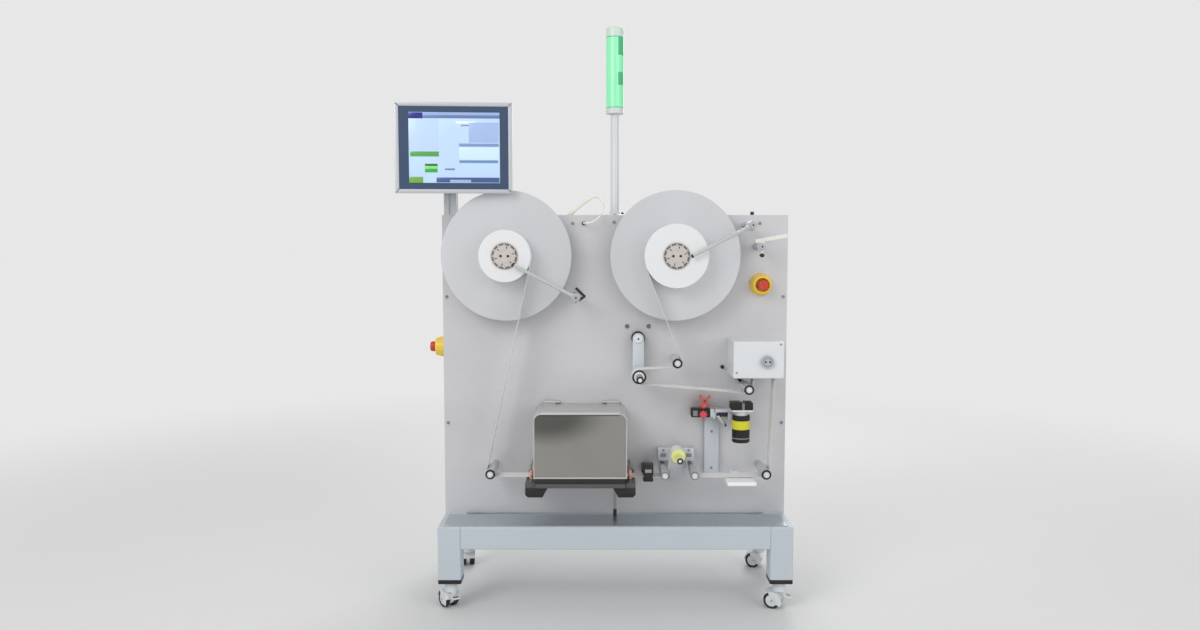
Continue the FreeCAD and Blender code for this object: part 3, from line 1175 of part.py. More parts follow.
def hmi_bracket():
    x, y = HMI_AXIS
    z0 = ROOF_TOP + HMI_POST_HEIGHT + GAP
    z1 = z0 + HMI_HUB_HEIGHT
    ty, tz = HMI_TILT
    hub = rod_z(x, y, HMI_HUB_RADIUS, z0, z1)
    arm = box(x - 12.0, x + 12.0, ty, y, tz - 9.0, tz + 9.0)
    barrel = rod_x(ty, tz, HMI_TILT_RADIUS, x - HMI_YOKE_WIDTH / 2, x + HMI_YOKE_WIDTH / 2)
    shape = join(hub, arm, barrel)
    shape = shape.cut(rod_z(x, y, HMI_PIN_RADIUS + SHAFT_FIT, z0 - 1, z1 + 1))
    shape = shape.cut(rod_x(ty, tz, HMI_TILT_PIN + SHAFT_FIT, x - HMI_YOKE_WIDTH, x + HMI_YOKE_WIDTH))
    return turned(shape)


def hmi_panel():
    """Bezel frame, housing, screen glass, and the ears and pin behind."""
    x = HMI_AXIS[0] + HMI_OFFSET_X
    z = HMI_Z0 + HMI_HEIGHT / 2
    front = -HMI_FRONT
    back = front + HMI_BEZEL_THICK
    bezel = box(x - HMI_WIDTH / 2, x + HMI_WIDTH / 2, front, back, HMI_Z0, HMI_Z0 + HMI_HEIGHT)
    bezel = round_edges(bezel, 3.0, along_y)
    inner_w = HMI_WIDTH / 2 - HMI_FRAME
    inner_h = HMI_HEIGHT / 2 - HMI_FRAME
    bezel = bezel.cut(box(x - inner_w, x + inner_w, front, front + HMI_RECESS, z - inner_h, z + inner_h))
    body = box(x - HMI_BODY_WIDTH / 2, x + HMI_BODY_WIDTH / 2, back, back + HMI_BODY_DEPTH,
               z - HMI_BODY_HEIGHT / 2, z + HMI_BODY_HEIGHT / 2)
    ty, tz = HMI_TILT
    inside = HMI_YOKE_WIDTH / 2 + GAP
    shape = body
    for a, b in ((-inside - HMI_EAR, -inside), (inside, inside + HMI_EAR)):
        ear = box(HMI_AXIS[0] + a, HMI_AXIS[0] + b, back + HMI_BODY_DEPTH, ty + HMI_TILT_RADIUS,
                  tz - HMI_TILT_RADIUS, tz + HMI_TILT_RADIUS)
        shape = join(shape, ear)
    pin = rod_x(ty, tz, HMI_TILT_PIN, HMI_AXIS[0] - inside, HMI_AXIS[0] + inside)
    shape = join(shape, pin)
    glass = box(x - inner_w, x + inner_w, front + 0.5, front + HMI_RECESS, z - inner_h, z + inner_h)
    return turned(group(bezel, shape, glass))


# Light tower


def tower_mast():
    x, y = TOWER_X, TOWER_BACK
    foot_top = ROOF_TOP + TOWER_FOOT_THICK
    pole_top = ROOF_TOP + TOWER_POLE_HEIGHT
    foot = rod_z(x, y, TOWER_FOOT_RADIUS, ROOF_TOP, foot_top)
    pole = rod_z(x, y, TOWER_POLE_RADIUS, foot_top, pole_top)
    base = rod_z(x, y, LAMP_RADIUS, pole_top, pole_top + LAMP_BASE_HEIGHT)
    cap_z = pole_top + LAMP_HEIGHT - LAMP_CAP_HEIGHT
    cap = rod_z(x, y, LAMP_RADIUS, cap_z, pole_top + LAMP_HEIGHT)
    rim = [e for e in cap.Edges if len(e.Vertexes) == 1 and e.BoundBox.ZMin > cap_z + 1]
    return group(join(foot, pole, base), cap.makeFillet(4.0, rim))


def tower_lens():
    pole_top = ROOF_TOP + TOWER_POLE_HEIGHT
    z0 = pole_top + LAMP_BASE_HEIGHT
    z1 = pole_top + LAMP_HEIGHT - LAMP_CAP_HEIGHT
    return rod_z(TOWER_X, TOWER_BACK, LAMP_RADIUS - 1.0, z0, z1)


def cord_path(points):
    """Straight runs joined by tangent arcs as large as the runs allow."""
    edges = []
    at = points[0]
    for before, corner, after in zip(points, points[1:], points[2:]):
        into = corner - before
        out = after - corner
        turn = into.getAngle(out)
        shorter = min(into.Length, out.Length)
        radius = 0.45 * shorter / math.tan(turn / 2)
        set_back = 0.45 * shorter
        a = V(into)
        a.normalize()
        b = V(out)
        b.normalize()
        start = corner - a * set_back
        end = corner + b * set_back
        inward = b - a
        inward.normalize()
        middle = corner + inward * (radius / math.cos(turn / 2) - radius)
        edges.append(Part.LineSegment(at, start).toShape())
        edges.append(Part.Arc(start, middle, end).toShape())
        print("cable bend radius", round(radius, 1))
        at = end
    edges.append(Part.LineSegment(at, points[-1]).toShape())
    return Part.Wire(edges)


def cable_tube(route, radius):
    points = [V(x, y, ROOF_TOP + rise) for x, y, rise in route]
    path = cord_path(points)
    section = Part.Wire([Part.makeCircle(radius, points[0], points[1] - points[0])])
    tube = path.makePipeShell([section], True, False)
    ideal = math.pi * radius ** 2 * path.Length
    print("cable length", round(path.Length, 1), "volume ratio", round(tube.Volume / ideal, 4))
    return tube


def tower_cable():
    return group(cable_tube(SLEEVE_ROUTE, SLEEVE_RADIUS), cable_tube(CABLE_ROUTE, CABLE_RADIUS))


# Label web: straight runs and the wraps round the rollers


def web_radius(radius):
    return radius + GAP + WEB_THICK / 2


def tangent(first, second):
    """The straight run between two circles, each (place, radius, sense), sense +1 anticlockwise."""
    (c1, r1, s1), (c2, r2, s2) = first, second
    dx = c2[0] - c1[0]
    dz = c2[1] - c1[1]
    length = math.hypot(dx, dz)
    ux, uz = dx / length, dz / length
    sine = -(s2 * r2 - s1 * r1) / length
    cosine = math.sqrt(1 - sine * sine)
    tx = ux * cosine - uz * sine
    tz = uz * cosine + ux * sine
    start = (c1[0] + s1 * r1 * tz, c1[1] - s1 * r1 * tx)
    end = (c2[0] + s2 * r2 * tz, c2[1] - s2 * r2 * tx)
    return start, end


def web_run(start, end):
    dx = end[0] - start[0]
    dz = end[1] - start[1]
    length = math.hypot(dx, dz)
    nx = -dz / length * WEB_THICK / 2
    nz = dx / length * WEB_THICK / 2
    points = [(start[0] + nx, start[1] + nz), (end[0] + nx, end[1] + nz),
              (end[0] - nx, end[1] - nz), (start[0] - nx, start[1] - nz)]
    return prism_y(points, -WEB_FRONT, -WEB_BACK)


def web_wrap(circle, arrive, leave):
    """The web round a roller, from where it arrives to where it leaves."""
    place, radius, sense = circle
    a = math.degrees(math.atan2(arrive[1] - place[1], arrive[0] - place[0]))
    b = math.degrees(math.atan2(leave[1] - place[1], leave[0] - place[0]))
    start, sweep = (a, (b - a) % 360) if sense > 0 else (b, (a - b) % 360)
    outer = Part.makeCylinder(radius + WEB_THICK / 2, WEB_WIDTH, V(0, 0, 0), V(0, 0, 1), sweep)
    inner = Part.makeCylinder(radius - WEB_THICK / 2, WEB_WIDTH, V(0, 0, 0), V(0, 0, 1), sweep)
    ring = outer.cut(inner)
    ring.rotate(V(0, 0, 0), V(0, 0, 1), start)
    ring.rotate(V(0, 0, 0), V(1, 0, 0), 90)
    ring.translate(V(place[0], -WEB_BACK, place[1]))
    return ring


def web_circles():
    """The rollers in the order that the web meets them."""
    return [("supply", (SUPPLY_REEL, web_radius(SUPPLY_ROLL_RADIUS), 1)),
            ("unwind", (UNWIND, web_radius(IDLER_RADIUS), -1)),
            ("dancer", (DANCER_ROLLER, web_radius(DANCER_ROLLER_RADIUS), 1)),
            ("upper", (UPPER, web_radius(IDLER_RADIUS), 1)),
            ("meter", (METER_ROLLER, web_radius(METER_ROLLER_RADIUS), -1)),
            ("infeed", (INFEED, web_radius(IDLER_RADIUS), -1)),
            ("guide_right", (GUIDE_RIGHT, web_radius(GUIDE_RADIUS), -1)),
            ("capstan", (CAPSTAN_AXIS, web_radius(CAPSTAN_RADIUS), 1)),
            ("guide_left", (GUIDE_LEFT, web_radius(GUIDE_RADIUS), -1)),
            ("outfeed", (OUTFEED, web_radius(IDLER_RADIUS), -1)),
            ("rewind", (REWIND_REEL, web_radius(REWIND_ROLL_RADIUS), 1))]


def web_pieces():
    """The web as fixed solids, the two spans at the dancer and the wrap on its roller."""
    circles = web_circles()
    fixed, spans, wrap = [], [], []
    ends = [tangent(a[1], b[1]) for a, b in zip(circles, circles[1:])]
    for (name_a, _), (name_b, _), (start, end) in zip(circles, circles[1:], ends):
        target = spans if "dancer" in (name_a, name_b) else fixed
        target.append(web_run(start, end))
    for (name, circle), before, after in zip(circles[1:-1], ends, ends[1:]):
        target = wrap if name == "dancer" else fixed
        target.append(web_wrap(circle, before[1], after[0]))
    return fixed, spans, wrap


# Drives and electrical panel


def drives():
    solids = []
    for place, radius in ((SUPPLY_REEL, REEL_SHAFT_RADIUS), (REWIND_REEL, REEL_SHAFT_RADIUS),
                          (CAPSTAN_AXIS, CAPSTAN_SHAFT_RADIUS)):
        half = GEARBOX_SIZE / 2
        y1 = PLATE_THICK + REEL_SHAFT_BACK
        gearbox = box(place[0] - half, place[0] + half, PLATE_THICK, y1, place[1] - half, place[1] + half)
        gearbox = gearbox.cut(rod_y(place, radius + SHAFT_FIT, PLATE_THICK, y1))
        motor = rod_y(place, MOTOR_RADIUS, y1, y1 + MOTOR_LENGTH)
        solids.append(join(gearbox, motor))
    return group(*solids)


def electrical_panel():
    """Back plate on standoffs with a row of devices between two wiring ducts."""
    x0 = LEFT_EDGE + PANEL_LEFT_INSET
    x1 = x0 + PANEL_WIDTH
    z0 = PLATE_BOTTOM + PANEL_RISE
    z1 = z0 + PANEL_HEIGHT
    y0 = PLATE_THICK + PANEL_STANDOFF
    y1 = y0 + PANEL_THICK
    plate = box(x0, x1, y0, y1, z0, z1)
    for x in (x0 + 15.0, x1 - 15.0):
        for z in (z0 + 15.0, z1 - 15.0):
            plate = join(plate, rod_y((x, z), 6.0, PLATE_THICK, y0))
    solids = [plate]
    middle = (z0 + z1) / 2
    pitch = PANEL_WIDTH / len(DEVICE_DEPTHS)
    for number, depth in enumerate(DEVICE_DEPTHS):
        x = x0 + pitch * (number + 0.5)
        solids.append(box(x - DEVICE_WIDTH / 2, x + DEVICE_WIDTH / 2, y1, y1 + depth,
                          middle - DEVICE_HEIGHT / 2, middle + DEVICE_HEIGHT / 2))
    for z in (z0 + DUCT_INSET, z1 - DUCT_INSET - DUCT_HEIGHT):
        solids.append(box(x0 + 25.0, x1 - 25.0, y1, y1 + DUCT_DEPTH, z, z + DUCT_HEIGHT))
    return group(*solids)


def build():
    fixed, spans, wrap = web_pieces()
    nodes = {
        "stand_frame": stand_frame(),
        "leg_plugs": leg_plugs(),
        "deck_panel": deck_panel(),
        "faceplate": faceplate(),
        "cabinet_panels": cabinet(),
        "cabinet_fittings": cabinet_fittings(),
        "door_left": door(-1),
        "door_right": door(1),
        "door_handle": door_handle(),
        "supply_hub": reel_hub(SUPPLY_REEL),
        "supply_disc": reel_disc(SUPPLY_REEL),
        "supply_roll": web_roll(SUPPLY_REEL, SUPPLY_ROLL_RADIUS),
        "rewind_hub": reel_hub(REWIND_REEL),
        "rewind_disc": reel_disc(REWIND_REEL),
        "rewind_roll": web_roll(REWIND_REEL, REWIND_ROLL_RADIUS),
        "fixed_shafts": fixed_shafts(),
        "unwind_idler": roller(UNWIND, IDLER_RADIUS),
        "upper_idler": roller(UPPER, IDLER_RADIUS),
        "infeed_idler": roller(INFEED, IDLER_RADIUS),
        "outfeed_idler": roller(OUTFEED, IDLER_RADIUS),
        "guide_roller_left": roller(GUIDE_LEFT, GUIDE_RADIUS),
        "guide_roller_right": roller(GUIDE_RIGHT, GUIDE_RADIUS),
        "dancer_arm": group(dancer_arm(), *wrap),
        "dancer_roller": dancer_roller(),
        "dancer_web": group(*spans),
        "label_web": group(*fixed),
        "capstan": capstan(),
        "capstan_block": capstan_block(),
        "metering_box": metering_box(),
        "metering_roller": metering_roller(),
        "print_station": print_station(),
        "print_head": print_head(),
        "hood": hood(),
        "fork_sensor": fork_sensor(),
        "inspection_stand": inspection_stand(),
        "camera_head": camera_head(),
        "rewind_keeper": rewind_keeper(),
        "supply_keeper": supply_keeper(),
        "edge_arm": edge_arm(),
        "stop_shrouds": group(stop_shroud(STOP_FRONT_PLACE, V(0, -1, 0)),
                              stop_shroud(STOP_SIDE_PLACE, V(-1, 0, 0))),
        "stop_button_front": stop_button(STOP_FRONT_PLACE, V(0, -1, 0)),
        "stop_button_side": stop_button(STOP_SIDE_PLACE, V(-1, 0, 0)),
        "hmi_post": hmi_post(),
        "hmi_bracket": hmi_bracket(),
        "hmi_panel": hmi_panel(),
        "tower_mast": tower_mast(),
        "tower_lens": tower_lens(),
        "tower_cable": tower_cable(),
        "drives": drives(),
        "electrical_panel": electrical_panel(),
    }
    for name in CASTER_TURNS:
        nodes["caster_" + name] = caster_hood(name)
        nodes["wheels_" + name] = twin_wheels(name)
        if name.startswith("front"):
            nodes["pedal_" + name] = brake_pedal(name)
    return nodes


NODES = build()
os.makedirs("parts", exist_ok=True)
for node, shape in NODES.items():
    shape.exportStep("parts/" + node + ".step")
    print(node, len(shape.Solids), "solids", round(shape.Volume / 1000.0, 1), "cm3", shape.isValid())
print(len(NODES), "nodes")
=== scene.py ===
import math

import bmesh
import bpy
from mathutils import Matrix, Vector


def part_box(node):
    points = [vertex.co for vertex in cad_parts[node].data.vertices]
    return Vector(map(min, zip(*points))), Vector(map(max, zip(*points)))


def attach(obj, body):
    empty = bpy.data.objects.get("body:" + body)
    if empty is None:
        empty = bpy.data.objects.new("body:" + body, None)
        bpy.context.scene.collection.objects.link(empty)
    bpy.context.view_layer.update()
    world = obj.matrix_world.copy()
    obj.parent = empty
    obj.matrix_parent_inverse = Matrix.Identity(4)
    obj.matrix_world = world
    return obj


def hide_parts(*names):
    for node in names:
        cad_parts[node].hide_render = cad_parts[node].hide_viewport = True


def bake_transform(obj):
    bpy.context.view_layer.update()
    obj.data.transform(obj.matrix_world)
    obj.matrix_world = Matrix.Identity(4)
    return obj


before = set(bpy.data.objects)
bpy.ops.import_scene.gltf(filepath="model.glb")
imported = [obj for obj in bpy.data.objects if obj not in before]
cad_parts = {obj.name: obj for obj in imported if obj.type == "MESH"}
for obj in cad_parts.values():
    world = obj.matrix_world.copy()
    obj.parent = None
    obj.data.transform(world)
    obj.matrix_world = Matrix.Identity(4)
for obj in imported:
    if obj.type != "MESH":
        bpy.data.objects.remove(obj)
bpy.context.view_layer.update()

# Camera, lamps and floor
# The camera stands three metres in front of the machine at chest height and looks a little down.
# The floor is one pale sheet that keeps the machine's shadow and fades into the backdrop far out.

CAMERA_PLACE = (-0.047, -3.030, 1.129)
CAMERA_DOWN = math.radians(4.43)
CAMERA_LENS = 29.01
AIM = Vector((0.0, 0.0, 0.75))
AMBIENT = 0.62
BACKDROP = 0.80
FLOOR_HALF = 14.0
FADE_START = 1.6
FADE_END = 4.5
LAMPS = (("key lamp", (-2.4, -3.4, 3.2), 2.4, 78.0),
         ("fill lamp", (2.8, -3.0, 2.0), 2.6, 34.0),
         ("back lamp", (0.8, 3.4, 2.8), 2.2, 60.0))


def tone(red, green, blue):
    """A colour as a screen shows it, 0 to 255, as the shader wants it."""
    parts = []
    for value in (red, green, blue):
        value = value / 255
        parts.append(value / 12.92 if value <= 0.04045 else ((value + 0.055) / 1.055) ** 2.4)
    return (*parts, 1.0)


def scaled(colour, by):
    return (*[min(1.0, part * by) for part in colour[:3]], 1.0)


def lamp(name, place, size, power):
    data = bpy.data.lights.new(name, "AREA")
    data.size = size
    data.energy = power
    made = bpy.data.objects.new(name, data)
    made.location = place
    made.rotation_euler = (AIM - Vector(place)).to_track_quat("-Z", "Y").to_euler()
    bpy.context.scene.collection.objects.link(made)


def feed(tree, target, inputs):
    """Sets a node's inputs, each to a plain value or to the output of another node."""
    for key, value in inputs.items():
        if isinstance(value, bpy.types.Node):
            value = value.outputs[0]
        if isinstance(value, bpy.types.NodeSocket):
            tree.links.new(value, target.inputs[key])
        else:
            target.inputs[key].default_value = value


def new_node(tree, kind, inputs=None, **settings):
    made = tree.nodes.new(kind)
    for key, value in settings.items():
        setattr(made, key, value)
    feed(tree, made, inputs or {})
    return made


def math_node(tree, operation, *values, kind="ShaderNodeMath"):
    """A node that reckons with its values, in their order."""
    return new_node(tree, kind, dict(enumerate(values)), operation=operation)


camera_data = bpy.data.cameras.new("camera")
camera_data.lens = CAMERA_LENS
camera = bpy.data.objects.new("camera", camera_data)
camera.location = CAMERA_PLACE
camera.rotation_euler = (math.pi / 2 - CAMERA_DOWN, 0, 0)
bpy.context.scene.collection.objects.link(camera)
bpy.context.scene.camera = camera
bpy.context.scene.view_settings.view_transform = "Standard"
for name, place, size, power in LAMPS:
    lamp(name, place, size, power)

world = bpy.data.worlds.new("studio")
bpy.context.scene.world = world
world.use_nodes = True
sky = world.node_tree
sky.nodes.clear()
rays = new_node(sky, "ShaderNodeLightPath").outputs
mirrored_or_seen = math_node(sky, "MAXIMUM", rays["Is Camera Ray"], rays["Is Glossy Ray"])
seen = math_node(sky, "MAXIMUM", mirrored_or_seen, rays["Is Transmission Ray"])
soft_light = new_node(sky, "ShaderNodeBackground", {"Color": (1, 1, 1, 1), "Strength": AMBIENT})
backdrop = new_node(sky, "ShaderNodeBackground", {"Color": (BACKDROP, BACKDROP, BACKDROP, 1)})
both = new_node(sky, "ShaderNodeMixShader", {0: seen, 1: soft_light, 2: backdrop})
new_node(sky, "ShaderNodeOutputWorld", {"Surface": both})

floor_mesh = bpy.data.meshes.new("floor")
floor_corners = [(x * FLOOR_HALF, y * FLOOR_HALF, 0) for x, y in ((-1, -1), (1, -1), (1, 1), (-1, 1))]
floor_mesh.from_pydata(floor_corners, [], [(0, 1, 2, 3)])
floor = bpy.data.objects.new("floor", floor_mesh)
bpy.context.scene.collection.objects.link(floor)
floor_finish = bpy.data.materials.new("studio floor")
floor_finish.use_nodes = True
ground = floor_finish.node_tree
ground_shader = ground.nodes["Principled BSDF"]
feed(ground, ground_shader, {"Base Color": (0.70, 0.70, 0.70, 1), "Roughness": 0.7})
ground_place = new_node(ground, "ShaderNodeTexCoord").outputs["Object"]
ground_reach = math_node(ground, "LENGTH", ground_place, kind="ShaderNodeVectorMath").outputs["Value"]
ground_fade = new_node(ground, "ShaderNodeMapRange",
                       {"Value": ground_reach, "From Min": FADE_START, "From Max": FADE_END},
                       interpolation_type="SMOOTHSTEP")
ground_rays = new_node(ground, "ShaderNodeLightPath").outputs
ground_seen = math_node(ground, "MULTIPLY", ground_fade, ground_rays["Is Camera Ray"])
ground_glow = new_node(ground, "ShaderNodeEmission", {"Color": (BACKDROP, BACKDROP, BACKDROP, 1)})
ground_mix = new_node(ground, "ShaderNodeMixShader", {0: ground_seen, 1: ground_shader, 2: ground_glow})
feed(ground, ground.nodes["Material Output"], {"Surface": ground_mix})
floor_mesh.materials.append(floor_finish)

# Stand
# Four legs and four rails of welded square steel tube, powder coated pale grey.
# The satin steel deck lies on the rails in front of the cabinet, and each leg ends in a black plug.

PAINT = (190, 199, 206)
DECK = (176, 185, 190)
PLUG = (22, 22, 24)
RAMP_ENDS = (0.3, 0.7)
POLISH_SPREAD = 0.06
BUMP_DEPTH = 0.0004


def ramp(tree, value, dark, pale):
    """Turns a noise's value into a tone between two colours."""
    made = new_node(tree, "ShaderNodeValToRGB", {"Fac": value})
    for point, place, colour in zip(made.color_ramp.elements, RAMP_ENDS, (dark, pale)):
        point.position = place
        point.color = colour
    return made


def finish(name, colour, rough=0.45, metal=0.0, grain=900.0, run=(1, 1, 1), shade=0.05, relief=0.06,
           cloud=0.03, cloud_size=5.0, drift=(1, 1, 1), coat=0.0, glow=0.0):
    """A surface with fine grain, slow clouding and a little relief. Run and drift stretch the two."""
    made = bpy.data.materials.new(name)
    made.use_nodes = True
    tree = made.node_tree
    colour = tone(*colour)
    place = new_node(tree, "ShaderNodeTexCoord", name="place").outputs["Object"]
    stretch = new_node(tree, "ShaderNodeMapping", {"Vector": place, "Scale": run})
    fine = new_node(tree, "ShaderNodeTexNoise", {"Vector": stretch, "Scale": grain, "Detail": 3.0},
                    name="grain")
    drawn = new_node(tree, "ShaderNodeMapping", {"Vector": place, "Scale": drift})
    slow = new_node(tree, "ShaderNodeTexNoise", {"Vector": drawn, "Scale": cloud_size, "Detail": 2.0})
    shades = ramp(tree, fine, scaled(colour, 1 - shade), scaled(colour, 1 + shade))
    clouds = ramp(tree, slow, (1 - cloud, 1 - cloud, 1 - cloud, 1), (1, 1, 1, 1))
    blend = new_node(tree, "ShaderNodeMix", name="colour", data_type="RGBA", blend_type="MULTIPLY")
    feed(tree, blend, {"Factor": 1.0, "A": shades, "B": clouds})
    dull = {"Value": fine, "To Min": max(0.02, rough - POLISH_SPREAD),
            "To Max": min(1.0, rough + POLISH_SPREAD)}
    polish = new_node(tree, "ShaderNodeMapRange", dull)
    bump = new_node(tree, "ShaderNodeBump", {"Height": fine, "Strength": relief, "Distance": BUMP_DEPTH})
    feed(tree, tree.nodes["Principled BSDF"],
         {"Base Color": blend.outputs["Result"], "Metallic": metal, "Roughness": polish, "Normal": bump,
          "Coat Weight": coat, "Emission Color": colour, "Emission Strength": glow})
    return made


def dress(node, made):
    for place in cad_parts[node].material_slots:
        place.material = made


pale_paint = finish("pale powder coat", PAINT, rough=0.40, grain=1600, shade=0.03, relief=0.10)
deck_steel = finish("satin deck steel", DECK, rough=0.24, metal=0.75, grain=700, run=(0.02, 1, 1),
                    relief=0.04)
black_plastic = finish("black moulded plastic", PLUG, rough=0.42, grain=2200, shade=0.2, relief=0.12)
dress("stand_frame", pale_paint)
dress("deck_panel", deck_steel)
dress("leg_plugs", black_plastic)

# Casters
# White moulded twin-wheel casters with black treads, each on a steel stem pressed into the leg's plug.
# The hood wraps the upper part of both wheels.
# The two front ones have a brake pedal behind the hood.

MM = 0.001
WHEEL_RADIUS = 25.0
WHEEL_WIDTH = 16.0
WEB_HALF = 6.0
WHEEL_SIDE = 0.3
TREAD = 5.0
TYRE_BORE = 8.0
HUB_CAP = 19.0
HOOD_INNER = 27.0
HOOD_OUTER = 30.0
FENDER = 1.6
FENDER_GAP = 0.4
FENDER_INNER = 11.0
HOOD_ARC = (8, 172)
FENDER_ARC = (68, 214)
TRAIL = 20.0
NECK_RADIUS = 20.0
NECK_TOP = 83.0
NECK_BOTTOM = 48.0
STEM_RADIUS = 6.0
PEDAL_PIN = (-16.0, 40.0)
PEDAL_LENGTH = 22.0
LEG_X = 505.0
FRONT_LEG_Y = -125.0
REAR_LEG_Y = 253.0
SHARP_ANGLE = math.radians(35)
CASTER_TURNS = {"front_left": 125.0, "front_right": 160.0, "rear_left": 100.0, "rear_right": 165.0}


def span(node):
    """Lowest and highest corner of a frame node, in millimetres."""
    low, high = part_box(node)
    return Vector(low) / MM, Vector(high) / MM


def add(bm, part, which=0, turn=None):
    """Adds a shaped part to a piece, with the number of the finish that it wears."""
    for face in part.faces:
        face.material_index = which
    if turn is not None:
        bmesh.ops.transform(part, matrix=turn, verts=part.verts)
    mesh = bpy.data.meshes.new("part")
    part.to_mesh(mesh)
    part.free()
    bm.from_mesh(mesh)
    bpy.data.meshes.remove(mesh)


def block(low, high, edge=1.0):
    """A box with its edges rounded."""
    part = bmesh.new()
    bmesh.ops.create_cube(part, size=1.0)
    for vert in part.verts:
        vert.co = Vector([low[i] + (vert.co[i] + 0.5) * (high[i] - low[i]) for i in range(3)])
    bmesh.ops.bevel(part, geom=part.edges[:], offset=edge, segments=3, profile=0.5, affect="EDGES")
    return part


def eased(points, ease=0.6, closed=False):
    """Breaks each corner of a turned profile with a small chamfer."""
    points = [Vector(point) for point in points]
    if closed:
        corners = zip(points[-1:] + points[:-1], points, points[1:] + points[:1])
    else:
        corners = zip(points, points[1:], points[2:])
    result = [] if closed else [points[0]]
    for before, corner, after in corners:
        into = corner - before
        out = after - corner
        cut = min(ease, into.length * 0.45, out.length * 0.45)
        result.append(corner - into.normalized() * cut)
        result.append(corner + out.normalized() * cut)
    if not closed:
        result.append(points[-1])
    return result


def turned(start, direction, profile, closed=False, around=48):
    """A turned part: the profile is (distance along the axis, radius), closed when it has a bore."""
    part = bmesh.new()
    axis = Vector(direction).normalized()
    lift = Vector((0, 0, 1)) if abs(axis.z) < 0.9 else Vector((1, 0, 0))
    side = axis.cross(lift).normalized()
    up = side.cross(axis)
    rings = []
    for along, radius in profile:
        middle = Vector(start) + axis * along
        if radius < 1e-6:
            rings.append([part.verts.new(middle)])
            continue
        ring = []
        for step in range(around):
            angle = 2 * math.pi * step / around
            ring.append(part.verts.new(middle + (side * math.cos(angle) + up * math.sin(angle)) * radius))
        rings.append(ring)
    pairs = list(zip(rings, rings[1:]))
    if closed:
        pairs.append((rings[-1], rings[0]))
    for first, second in pairs:
        for step in range(around):
            after = (step + 1) % around
            if len(first) == 1:
                part.faces.new((first[0], second[step], second[after]))
            elif len(second) == 1:
                part.faces.new((first[step], second[0], first[after]))
            else:
                part.faces.new((first[step], second[step], second[after], first[after]))
    bmesh.ops.recalc_face_normals(part, faces=part.faces)
    return part


def rod(start, end, radius, ease=0.6, around=32):
    length = (Vector(end) - Vector(start)).length
    profile = eased([(0, 0), (0, radius), (length, radius), (length, 0)], ease)
    return turned(start, Vector(end) - Vector(start), profile, around=around)


def ring(start, end, inner, outer, ease=0.5, around=48):
    length = (Vector(end) - Vector(start)).length
    profile = eased([(0, inner), (0, outer), (length, outer), (length, inner)], ease, closed=True)
    return turned(start, Vector(end) - Vector(start), profile, closed=True, around=around)


def rod_y(place, y0, y1, *sizes):
    """A rod along Y at a place (X, Z)."""
    return rod((place[0], y0, place[1]), (place[0], y1, place[1]), *sizes)


def rod_z(place, z0, z1, *sizes):
    """A rod along Z at a place (X, Y)."""
    return rod((*place, z0), (*place, z1), *sizes)


def ring_y(place, y0, y1, *sizes):
    return ring((place[0], y0, place[1]), (place[0], y1, place[1]), *sizes)


def ring_z(place, z0, z1, *sizes):
    return ring((*place, z0), (*place, z1), *sizes)


def slab(outline, y0, y1, edge=0.8):
    """A flat outline of (X, Z) points, as deep as y0 to y1, with its edges rounded."""
    part = bmesh.new()
    face = part.faces.new([part.verts.new((x, y0, z)) for x, z in outline])
    moved = bmesh.ops.extrude_face_region(part, geom=[face])
    verts = [item for item in moved["geom"] if isinstance(item, bmesh.types.BMVert)]
    bmesh.ops.translate(part, vec=(0, y1 - y0, 0), verts=verts)
    bmesh.ops.recalc_face_normals(part, faces=part.faces)
    if edge > 0:
        bmesh.ops.bevel(part, geom=part.edges[:], offset=edge, segments=2, profile=0.5, affect="EDGES")
    return part


def arc(centre, radius, first, last, steps=16):
    """Points (X, Z) on an arc, in degrees."""
    points = []
    for step in range(steps + 1):
        angle = math.radians(first + (last - first) * step / steps)
        points.append((centre[0] + radius * math.cos(angle), centre[1] + radius * math.sin(angle)))
    return points


def placed(name, mesh, body, stands_for=()):
    """Puts a mesh on the body that it rides on, in place of the plain nodes that it stands for."""
    made = bpy.data.objects.new(name, mesh)
    bpy.context.scene.collection.objects.link(made)
    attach(made, body)
    if stands_for:
        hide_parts(*stands_for)


def piece(name, bm, finishes, body, stands_for=()):
    """Makes a finished piece out of its parts, in metres, riding on a body."""
    bmesh.ops.scale(bm, vec=(MM, MM, MM), verts=bm.verts)
    mesh = bpy.data.meshes.new(name)
    bm.to_mesh(mesh)
    bm.free()
    for made in finishes:
        mesh.materials.append(made)
    mesh.polygons.foreach_set("use_smooth", [True] * len(mesh.polygons))
    mesh.set_sharp_from_angle(angle=SHARP_ANGLE)
    placed(name, mesh, body, stands_for)


caster_white = finish("white moulded nylon", (214, 219, 221), rough=0.35, grain=1800, shade=0.02,
                      relief=0.06)
tread_black = finish("black tread rubber", (26, 26, 28), rough=0.62, grain=1500, shade=0.25, relief=0.25)
bright_steel = finish("bright steel", (196, 200, 203), rough=0.25, metal=0.9, grain=900, relief=0.05)

